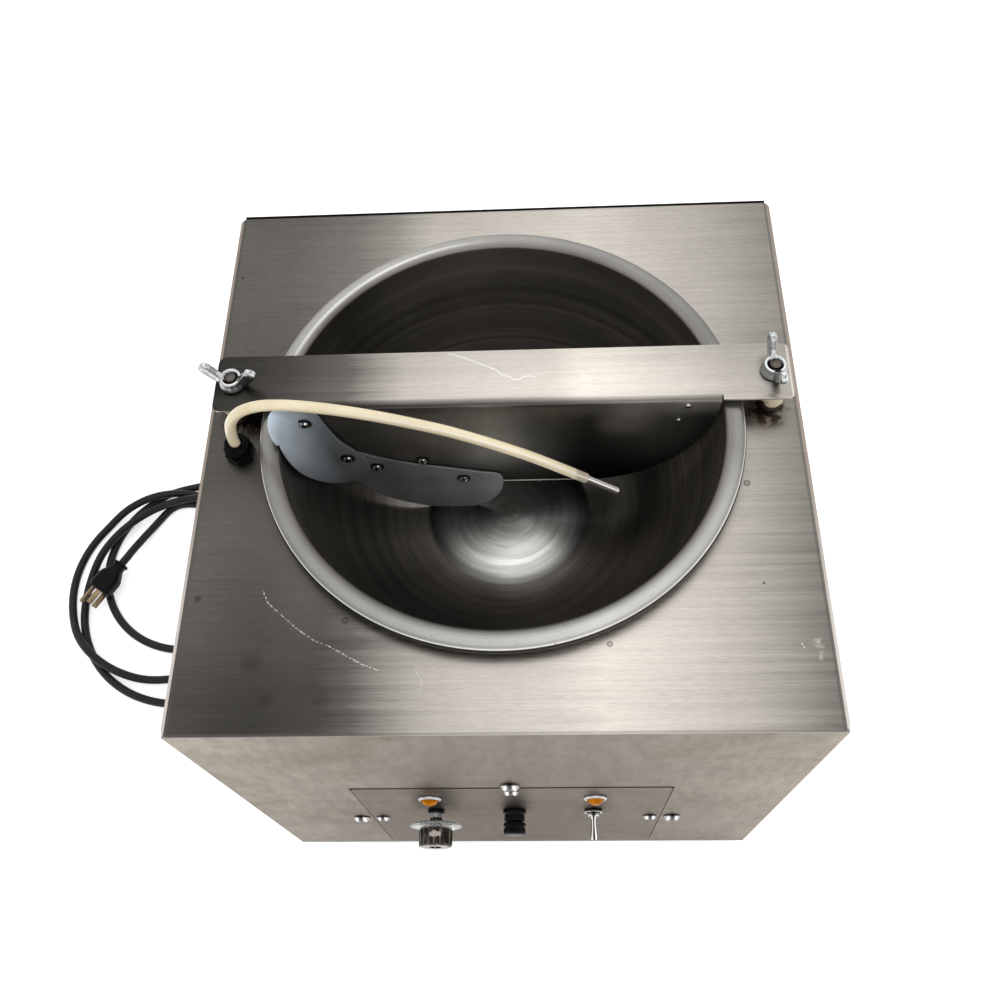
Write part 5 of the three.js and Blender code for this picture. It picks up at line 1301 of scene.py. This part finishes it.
class MELTER_OT_clamps(Maker, bpy.types.Operator):
    """Makes the studs, spacers and wing nuts that hold the bridge down"""
    bl_idname = "melter.clamps"
    bl_label = "Bridge clamps"

    def make(self):
        for side, turn in (("left", -12), ("right", 96)):
            centre = middle("stud_" + side)
            low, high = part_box("stud_" + side)
            bm = bmesh.new()
            threaded(bm, STUD_RADIUS, BRIDGE_HIGH.z - 0.002, high.z, THREAD_PITCH, THREAD_DEPTH)
            add_lathe(bm, rounded([(0.0056, low.z), (0.0056, low.z + 0.003), (0.0037, low.z + 0.003),
                                   (0.0037, BRIDGE_HIGH.z - 0.001), (0, BRIDGE_HIGH.z - 0.001)], 0.0003, 2),
                      Matrix())
            bm.transform(Matrix.Translation((centre.x, centre.y, 0)))
            show("threaded_stud_" + side, bm, "dull_zinc", "stud_" + side)
            self.pad(side)
            self.wing_nut(side, Matrix.Translation((centre.x, centre.y, BRIDGE_HIGH.z + 0.0003))
                          @ Matrix.Rotation(math.radians(turn), 4, "Z"))

    def pad(self, side):
        low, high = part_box("spacer_" + side)
        half = (high - low) / 2
        straight = half.y - half.x

        def oblong(spot):
            return Vector((spot.x * half.x, spot.y * half.x + math.copysign(straight, spot.y), 0))
        bm = bmesh.new()
        edge = (((0.0, 0.94), (0.0003, 0.975), (0.0010, 1.0)))
        stations = [disc(low.z + rise, share) for rise, share in edge]
        stations += [disc(high.z - rise, share) for rise, share in reversed(edge)]
        sweep(bm, stations, 64, oblong)
        bm.transform(Matrix.Translation(((low.x + high.x) / 2, (low.y + high.y) / 2, 0)))
        show("nylon_pad_" + side, bm, "nylon", "spacer_" + side)

    def wing_nut(self, side, place):
        bm = bmesh.new()
        profile = mm((4.2, 0), (8.8, 0), (9.1, 0.8), (9.1, 2), (8.6, 3.4), (7.8, 5.6), (7.5, 7), (7, 7.7),
                     (5.8, 7.8), (4.6, 6.8), (4.2, 6), (4.2, 0))
        lathe(bm, rounded(profile, 0.0004, 3)[:-1], 72)
        path = (
            (0.0056, 0.0034, 0.0040, 0.0030), (0.0074, 0.0046, 0.0041, 0.0028),
            (0.0094, 0.0064, 0.0040, 0.0026), (0.0114, 0.0086, 0.0040, 0.0026),
            (0.0134, 0.0110, 0.0041, 0.0026), (0.0152, 0.0132, 0.0042, 0.0027),
            (0.0166, 0.0150, 0.0041, 0.0027), (0.0176, 0.0162, 0.0037, 0.0025),
            (0.0182, 0.0170, 0.0030, 0.0020), (0.0185, 0.0174, 0.0020, 0.0012))
        for half_turn in (0, math.pi):
            stations = []
            for i, (x, z, wide, thick) in enumerate(path):
                x0, z0 = path[max(i - 1, 0)][:2]
                x1, z1 = path[min(i + 1, len(path) - 1)][:2]
                lean = math.atan2(x1 - x0, z1 - z0)
                stations.append(Matrix.Rotation(half_turn, 4, "Z") @ Matrix.Translation((x, 0, z))
                                @ Matrix.Rotation(lean, 4, "Y") @ Matrix.Diagonal((wide, thick, 1, 1)))
            sweep(bm, stations, 32, squarish(4.0))
        bm.transform(place)
        show("winged_nut_" + side, bm, "zinc", "wing_nut_" + side, crease=40)


# Outlines of the two blades as they would lie flat on the divider, in mm
UPPER_EDGE = (
    (-153.8, 418.1), (-157.7, 411.3), (-160.2, 404.2), (-161.8, 396.0), (-162.4, 387.7), (-162.2, 379.9),
    (-160.9, 374.0), (-159.3, 374.6), (-159.3, 367.7), (-159.0, 358.6), (-158.0, 350.3), (-155.6, 340.9),
    (-151.7, 333.1), (-146.4, 327.0), (-139.8, 322.2), (-132.7, 319.5), (-125.1, 319.2), (-117.2, 320.9),
    (-110.1, 323.9), (-103.9, 329.1), (-100.1, 336.6), (-99.1, 344.1), (-100.3, 353.5), (-103.6, 360.8),
    (-107.8, 368.1), (-113.3, 377.0), (-116.8, 386.6), (-119.3, 395.9), (-121.6, 405.7), (-123.0, 412.2),
    (-126.0, 418.5), (-133.0, 422.0), (-142.5, 422.4), (-149.6, 421.0))
LOWER_EDGE = (
    (-113.8, 320.8), (-107.3, 309.0), (-96.7, 295.7), (-84.8, 286.3), (-72.4, 279.8), (-59.9, 275.2),
    (-46.9, 272.6), (-33.5, 272.8), (-22.7, 276.1), (-13.6, 283.0), (-7.3, 293.3), (-3.6, 304.2),
    (-2.4, 316.1), (-4.0, 322.7), (-8.2, 325.4), (-16.8, 327.4), (-28.9, 331.1), (-41.1, 334.6),
    (-54.2, 338.3), (-67.4, 342.2), (-79.0, 346.8), (-90.4, 352.0), (-97.3, 355.8), (-104.9, 360.2),
    (-113.0, 360.4), (-118.3, 348.5), (-118.1, 333.4))


def wall_bend(x, z):
    """How far the bowl's wall pushes the upper blade forward at a place in mm, in mm."""
    aside = -(x + 128.3) * 0.992 - (z - 370) * 0.126
    rise = (z - 370) / 50
    return (aside + math.hypot(aside, 4)) / 2 * max(0, 0.78 - 0.317 * rise - 0.52 * rise * rise)


class MELTER_OT_blades(Maker, bpy.types.Operator):
    """Bends the upper of the two milky scraper blades to the bowl's wall and screws them to the divider"""
    bl_idname = "melter.blades"
    bl_label = "Scraper blades"

    def make(self):
        plane = BRIDGE_LOW.y - 0.0004
        self.blade("lower", LOWER_EDGE, plane, lambda x, z: 0)
        self.blade("upper", UPPER_EDGE, plane - 0.0018, wall_bend)
        ring_bm, bm = bmesh.new(), bmesh.new()
        for x, z, depth in (
                (-0.1340, 0.4063, 0.0042), (-0.1129, 0.3576, 0.0037), (-0.0945, 0.3408, 0.0016),
                (-0.0319, 0.3205, 0.0016), (-0.0603, 0.3455, -0.0004)):
            place = Matrix.Translation((x, plane - depth, z)) @ FORWARD
            add_lathe(ring_bm, rounded(mm((5.2, 0), (5.2, 0.6), (0, 0.6)), 0.0004, 3), place, 32)
            add_screw(bm, 0.0035, 0.0022, place @ Matrix.Translation((0, 0, 0.0005))
                      @ Matrix.Rotation(x * 30, 4, "Z"), slotted=True)
        show("blade_washers", ring_bm, "dark_zinc", body="divider_bridge", slot="zinc_plate")
        show("blade_screws", bm, "dome", body="divider_bridge", slot="zinc_plate")

    def blade(self, name, outline, plane, bend):
        bm = bmesh.new()
        corners = [Vector((x, 0, z)) / 1000 for x, z in outline]
        edge = smooth_route([*corners, corners[0]], 4)[:-1]
        bm.faces.new([bm.verts.new((spot.x, plane, spot.z)) for spot in edge])
        low_x, high_x = min(spot.x for spot in edge), max(spot.x for spot in edge)
        low_z, high_z = min(spot.z for spot in edge), max(spot.z for spot in edge)
        for normal, low, high in (((1, 0, 0), low_x, high_x), ((0, 0, 1), low_z, high_z)):
            count = int((high - low) / BLADE_GRID)
            for i in range(1, count):
                slice_at(bm, Vector(normal) * (low + (high - low) * i / count), normal)
        for vert in bm.verts:
            push = bend(vert.co.x * 1000, vert.co.z * 1000) / 1000
            vert.co += (EYE - vert.co) * (push / (vert.co.y - EYE.y))
        bmesh.ops.recalc_face_normals(bm, faces=bm.faces)
        if sum(face.normal.y for face in bm.faces) > 0:
            bmesh.ops.reverse_faces(bm, faces=bm.faces)
        thicken(bm, -BLADE_THICKNESS, 60)
        show("blade_sheet_" + name, bm, "blade", "scraper_blade_" + name, crease=50)


class MELTER_OT_probe(Maker, bpy.types.Operator):
    """Makes the probe's gland, its curved sleeve and its steel tip"""
    bl_idname = "melter.probe"
    bl_label = "Temperature probe"

    def make(self):
        centre = middle("probe_gland")
        shares = (
            (0, 0.16), (0, 0.36), (0.017, 0.65), (0.056, 0.86), (0.112, 0.965), (0.165, 0.978),
            (0.215, 0.958), (0.284, 0.898), (0.361, 0.808), (0.438, 0.697), (0.516, 0.566), (0.595, 0.42),
            (0.6745, 0.241), (0.756, 0.034), (0.841, -0.202), (0.92, -0.455), (1, -0.72))
        span = 0.058 - centre.x
        path = [Vector((centre.x + span * reach, centre.y, TOP_Z + 0.061 * rise)) for reach, rise in shares]
        route = smooth_route(path, 8)
        heading = (path[-1] - path[-2]).normalized()
        bm = as_bmesh(tube_curve("sleeve", route, 0.0037, 8))
        show("curved_sleeve", bm, "sleeve", "probe_sleeve", crease=50)
        end = path[-1] + heading * 0.0003
        turned("steel_tip", rounded(mm((0, 0), (2.35, 0), (2.35, 31), (0, 31)), 0.0012, 5),
               towards(heading, end), "tip", "probe_tip", segments=40)
        bm = bmesh.new()
        base = TOP_Z + 0.0003
        sweep(bm, [disc(base, 0.0103), disc(base + 0.0056, 0.0103), disc(base + 0.0060, 0.0098)], 6)
        bevel_sharp(bm, 0.0006, 3, 30)
        add_lathe(bm, [(0, TOP_Z - 0.0119), (0.0058, TOP_Z - 0.0119), (0.0058, base), (0, base)], Matrix(),
                  40)
        bm.transform(Matrix.Translation((centre.x, centre.y, 0)))
        show("gland_hexagon", bm, "gloss", "probe_gland", crease=40)
        bm = bmesh.new()
        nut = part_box("probe_gland_nut")[0].z
        sweep(bm, [disc(nut, 0.0089), disc(nut + 0.0004, 0.0093), disc(nut + 0.0052, 0.0093),
                   disc(nut + 0.0058, 0.0089)], 160, rippled(20, 0.075, 0.7))
        add_lathe(bm, rounded([(0, nut + 0.0055), (0.0087, nut + 0.0055), (0.0085, nut + 0.0066),
                               (0.0066, nut + 0.0074), (0.0066, nut + 0.0080), (0.0073, nut + 0.0083),
                               (0.0073, nut + 0.0096), (0.0046, nut + 0.0096), (0.0042, nut + 0.0082),
                               (0, nut + 0.0082)], 0.0006, 5), Matrix(), 64)
        bm.transform(Matrix.Translation((centre.x, centre.y, 0)))
        show("gland_dome_nut", bm, "gloss", "probe_gland_nut", crease=30)


class MELTER_OT_controls(Maker, bpy.types.Operator):
    """Makes the lamps, the temperature knob, the fuse holder and the toggle switch"""
    bl_idname = "melter.controls"
    bl_label = "Controls"

    def make(self):
        self.lamps()
        self.knob()
        self.fuse()
        self.toggle()

    def lamps(self):
        count = looks().lens_facets
        for side in ("left", "right"):
            centre = middle("lamp_bezel_" + side)
            place = on_front(centre.x, centre.z)
            ring = rounded(mm((6.6, 0.8), (6.6, 2), (7.4, 2.1), (8.6, 1.2), (8.9, 0.3), (7, 0.3),
                              (7, -23.8), (0, -23.8)), 0.0004, 3)
            turned("lamp_ring_" + side, [*ring, (0, 0.0008)], place, "chrome", "lamp_bezel_" + side,
                   segments=64)
            bm = bmesh.new()
            turn = math.pi / count
            sweep(bm, [disc(0.0011, 0.0064), disc(0.0024, 0.0064), disc(0.0040, 0.0052, turn=turn),
                       disc(0.0053, 0.0030, turn=2 * turn), disc(0.0055, 0.0012, turn=3 * turn)], count)
            bevel_sharp(bm, 0.0001, 2, 8)
            bm.transform(place)
            show("lamp_jewel_" + side, bm, "amber", "lamp_lens_" + side, crease=8)

    def knob(self):
        centre = middle("control_nut")
        place = on_front(centre.x, centre.z)
        softened("temperature_control", "galvanised", 0.0004)
        softened("control_nut", "dark_zinc", 0.0004)
        softened("control_shaft", "zinc", 0.0003)
        bm = bmesh.new()
        ribs = looks().knob_ribs
        levels = mm((14.9, 12.4), (15.2, 13), (16, 13.2), (26.2, 13.1), (27.2, 12.7), (27.7, 12))
        sweep(bm, [disc(z, r) for z, r in levels], ribs * 10, rippled(ribs, 0.055, 0.6))
        add_lathe(bm, mm((0, 6.2), (4.9, 6.2), (4.9, 15), (0, 15)), Matrix(), 40)
        bm.transform(place)
        show("fluted_knob", bm, "smoke", "knob_body", crease=40)
        bm = bmesh.new()
        add_lathe(bm, rounded(mm((10.6, 27.5), (10.6, 27.9), (10, 28), (0, 27.9)), 0.0003, 3), place, 64)
        add_box(bm, (0.0012, 0.0078, 0.0004), place @ Matrix.Translation((0, 0.0052, 0.0280)), 0.0001)
        show("knob_inlay", bm, "inlay", body="knob", slot="chrome_trim")
        profile = rounded(mm((5.3, 14.6), (12.8, 14.6), (16, 12.8), (20.4, 12.5), (20.4, 11), (15, 11.3),
                             (12, 13), (5.3, 13.1), (5.3, 14.6)), 0.0005, 3)[:-1]
        turned("flared_skirt", profile, place, "clear", "knob_skirt", segments=96)
        self.dial(place)

    def dial(self, place):
        bm = bmesh.new()
        for i in range(31):
            angle = math.radians(-135 + 9 * i)
            long = 0.0024 if i % 3 == 0 else 0.0014
            spot = place @ Matrix.Rotation(-angle, 4, "Z") @ Matrix.Translation((0, 0.0199 - long / 2,
                                                                                 0.01262))
            add_box(bm, (0.0004, long, 0.00016), spot)
        show("dial_ticks", bm, "print", body="knob", slot="black_plastic")
        for i in range(0, 11):
            angle = math.radians(-135 + 27 * i)
            data = bpy.data.curves.new("number", "FONT")
            data.body = str(i)
            data.size = 0.0026
            data.extrude = 0.00008
            data.align_x = "CENTER"
            data.align_y = "CENTER"
            number = in_scene("number", data)
            number.matrix_world = place @ Matrix.Rotation(-angle, 4,
                                                          "Z") @ Matrix.Translation((0, 0.0162, 0.01268))
            bpy.context.view_layer.update()
            bm = as_bmesh(number)
            show("dial_number_%d" % i, bm, "print", body="knob", slot="black_plastic")

    def fuse(self):
        centre = middle("fuse_holder")
        place = on_front(centre.x, centre.z)
        profile = rounded(mm((0, -34), (7, -34), (7, 0.3), (9.2, 0.3), (9.2, 3), (8, 3.6), (8, 9),
                             (4, 9.4), (4, -28), (0, -28)), 0.0005, 3)
        turned("fuse_collar", profile, place, "black", "fuse_holder", segments=64)
        bm = bmesh.new()
        levels = mm((10, 8.4), (10.4, 8.7), (12.5, 8.7), (12.8, 8), (14, 7.8), (14.4, 8.6), (17.6, 8.5),
                    (18.7, 7.9), (19, 7))
        sweep(bm, [disc(z, r) for z, r in levels], 120, rippled(20, 0.05, 0.7))
        add_lathe(bm, mm((0, 4.6), (3.5, 4.6), (3.5, 10.1), (0, 10.1)), Matrix(), 32)
        bm.transform(place)
        show("fuse_grip", bm, "black", "fuse_cap", crease=30)
        softened("glass_fuse", "glass", 0.0003)

    def toggle(self):
        centre = middle("toggle_nut")
        place = on_front(centre.x, centre.z)
        bm = bmesh.new()
        bm.from_mesh(frame["nodes"]["toggle_body"].data)
        cut = slice_at(bm, (0, FRONT_Y + 0.001, 0), (0, 1, 0), clear_inner=True)
        bmesh.ops.holes_fill(bm, edges=[item for item in cut if isinstance(item, bmesh.types.BMEdge)])
        bevel_sharp(bm, 0.0003)
        show("toggle_case", bm, "black", "toggle_body", slot="black_plastic")
        softened("toggle_nut", "dome", 0.0004)
        collar = rounded(mm((3, 0), (4.8, 0), (4.8, 3.4), (4.2, 5), (3.1, 5.4), (3, 0)), 0.0006, 4)[:-1]
        turned("toggle_collar", collar, place, "dome", body="cabinet", slot="zinc_plate")
        pivot = on_front(centre.x, centre.z, FRONT_Y - 0.004) @ Matrix.Rotation(math.radians(12), 4, "X")
        profile = rounded(mm((0, -2.6), (2.6, -1), (2.6, 1.2), (1.8, 3), (1.9, 6), (2.8, 16.8), (2.2, 18.6),
                             (0, 18.8)), 0.0012, 4)
        turned("toggle_bat", profile, pivot, "rod", "toggle_lever", slot="chrome_trim", segments=40,
               crease=50)


class MELTER_OT_screws(Maker, bpy.types.Operator):
    """Sets the pan head screws around the control plate"""
    bl_idname = "melter.screws"
    bl_label = "Plate screws"

    def make(self):
        bm = bmesh.new()
        for x, z, radius in (
                (-0.126, 0.137, 0.0067), (0.126, 0.137, 0.0067), (0.0, 0.256, 0.0069),
                (-0.1083, 0.137, 0.0053), (0.1083, 0.137, 0.0053), (0.0, 0.2355, 0.0055)):
            add_screw(bm, radius, radius * 0.58, on_front(x, z) @ Matrix.Rotation(x * 40 + z * 9, 4, "Z"))
        show("plate_screws", bm, "dome", body="cabinet", slot="zinc_plate")


class MELTER_OT_inside(Maker, bpy.types.Operator):
    """Gives the drive, the heater, the fan and the board inside the cabinet their finishes"""
    bl_idname = "melter.inside"
    bl_label = "Inside parts"

    def make(self):
        for node, surface, width in (
                ("motor_shelf", "galvanised", 0.0004), ("gearbox", "paint", 0.0012),
                ("drive_motor", "paint", 0.0008), ("output_shaft", "zinc", 0.0003),
                ("drive_hub", "galvanised", 0.0004), ("heating_element", "element", 0.0002),
                ("element_clip_left", "zinc", 0.0002), ("element_clip_right", "zinc", 0.0002),
                ("fan_frame", "black", 0.0005), ("fan_rotor", "black", 0.0003),
                ("control_board", "board", 0.0001)):
            softened(node, surface, width)


class MELTER_OT_stage(Maker, bpy.types.Operator):
    """Sets the pale floor, the white background and the soft studio lamps"""
    bl_idname = "melter.stage"
    bl_label = "Studio"

    def make(self):
        self.floor()
        self.background()
        for name, place, aim, size, power in (
                ("overhead_softbox", (0.2, 0.3, 2.4), (0.05, 0.05, 0.3), (2.6, 2.6), 8),
                ("front_softbox", (0.4, -2.6, 1.3), (0, 0, 0.2), (2.4, 1.6), 5),
                ("right_softbox", (2.4, -0.3, 1.1), (0, 0, 0.25), (1.6, 1.6), 3)):
            data = bpy.data.lights.new(name, "AREA")
            data.shape = "RECTANGLE"
            data.size, data.size_y = size
            data.energy = power
            lamp = in_scene(name, data)
            lamp.location = place
            lamp.rotation_euler = (Vector(aim) - Vector(place)).to_track_quat("-Z", "Y").to_euler()

    def floor(self):
        bm = bmesh.new()
        bmesh.ops.create_grid(bm, x_segments=2, y_segments=2, size=8.0)
        floor = in_scene("studio_floor", as_mesh("studio_floor", bm))
        paper = Finish("floor_paper", Roughness=0.9)
        grain = paper.noise(paper.place(), 3.0, 2)
        pale = tuple(looks().floor_colour)
        paper.set("Base Color", paper.blend(paper.span(grain, 0.3, 0.7, 0.0, 0.05), pale,
                                            (0.97, 0.97, 0.97)))
        paper.set("Specular IOR Level", 0.0)
        paper.set("Emission Color", pale)
        paper.set("Emission Strength", paper.times(paper.seen(), 0.55))
        floor.data.materials.append(paper.material)

    def background(self):
        world = bpy.data.worlds.new("studio")
        bpy.context.scene.world = world
        world.use_nodes = True
        sky = Nodes(world.node_tree)
        level = sky.add("MapRange", {"Value": sky.seen(), "To Min": 0.8, "To Max": 1.0}).outputs[0]
        sockets = sky.nodes["Background"].inputs
        sky.feed(sockets["Color"], (1, 1, 1))
        sky.feed(sockets["Strength"], level)
        bpy.context.scene.view_settings.view_transform = "Standard"


class MELTER_PT_panel(bpy.types.Panel):
    bl_label = "Melting unit"
    bl_space_type = "VIEW_3D"
    bl_region_type = "UI"
    bl_category = "Melting unit"

    def draw(self, context):
        for name in MELTER_PG_looks.__annotations__:
            self.layout.prop(context.scene.melter_looks, name)
        for maker in MAKERS:
            self.layout.operator(maker.bl_idname)


MAKERS = (MELTER_OT_camera, MELTER_OT_cord, MELTER_OT_cabinet, MELTER_OT_bowl, MELTER_OT_bridge,
          MELTER_OT_clamps, MELTER_OT_blades, MELTER_OT_probe, MELTER_OT_controls, MELTER_OT_screws,
          MELTER_OT_inside, MELTER_OT_stage)
CLASSES = (MELTER_PG_looks, *MAKERS, MELTER_PT_panel)


def register():
    for kind in CLASSES:
        bpy.utils.register_class(kind)
    bpy.types.Scene.melter_looks = bpy.props.PointerProperty(type=MELTER_PG_looks)


def unregister():
    del bpy.types.Scene.melter_looks
    for kind in reversed(CLASSES):
        bpy.utils.unregister_class(kind)


def main():
    register()
    for make in (bpy.ops.melter.camera, bpy.ops.melter.cord, bpy.ops.melter.cabinet, bpy.ops.melter.bowl,
                 bpy.ops.melter.bridge, bpy.ops.melter.clamps, bpy.ops.melter.blades, bpy.ops.melter.probe,
                 bpy.ops.melter.controls, bpy.ops.melter.screws, bpy.ops.melter.inside,
                 bpy.ops.melter.stage):
        make()


if __name__ == "__main__":
    main()
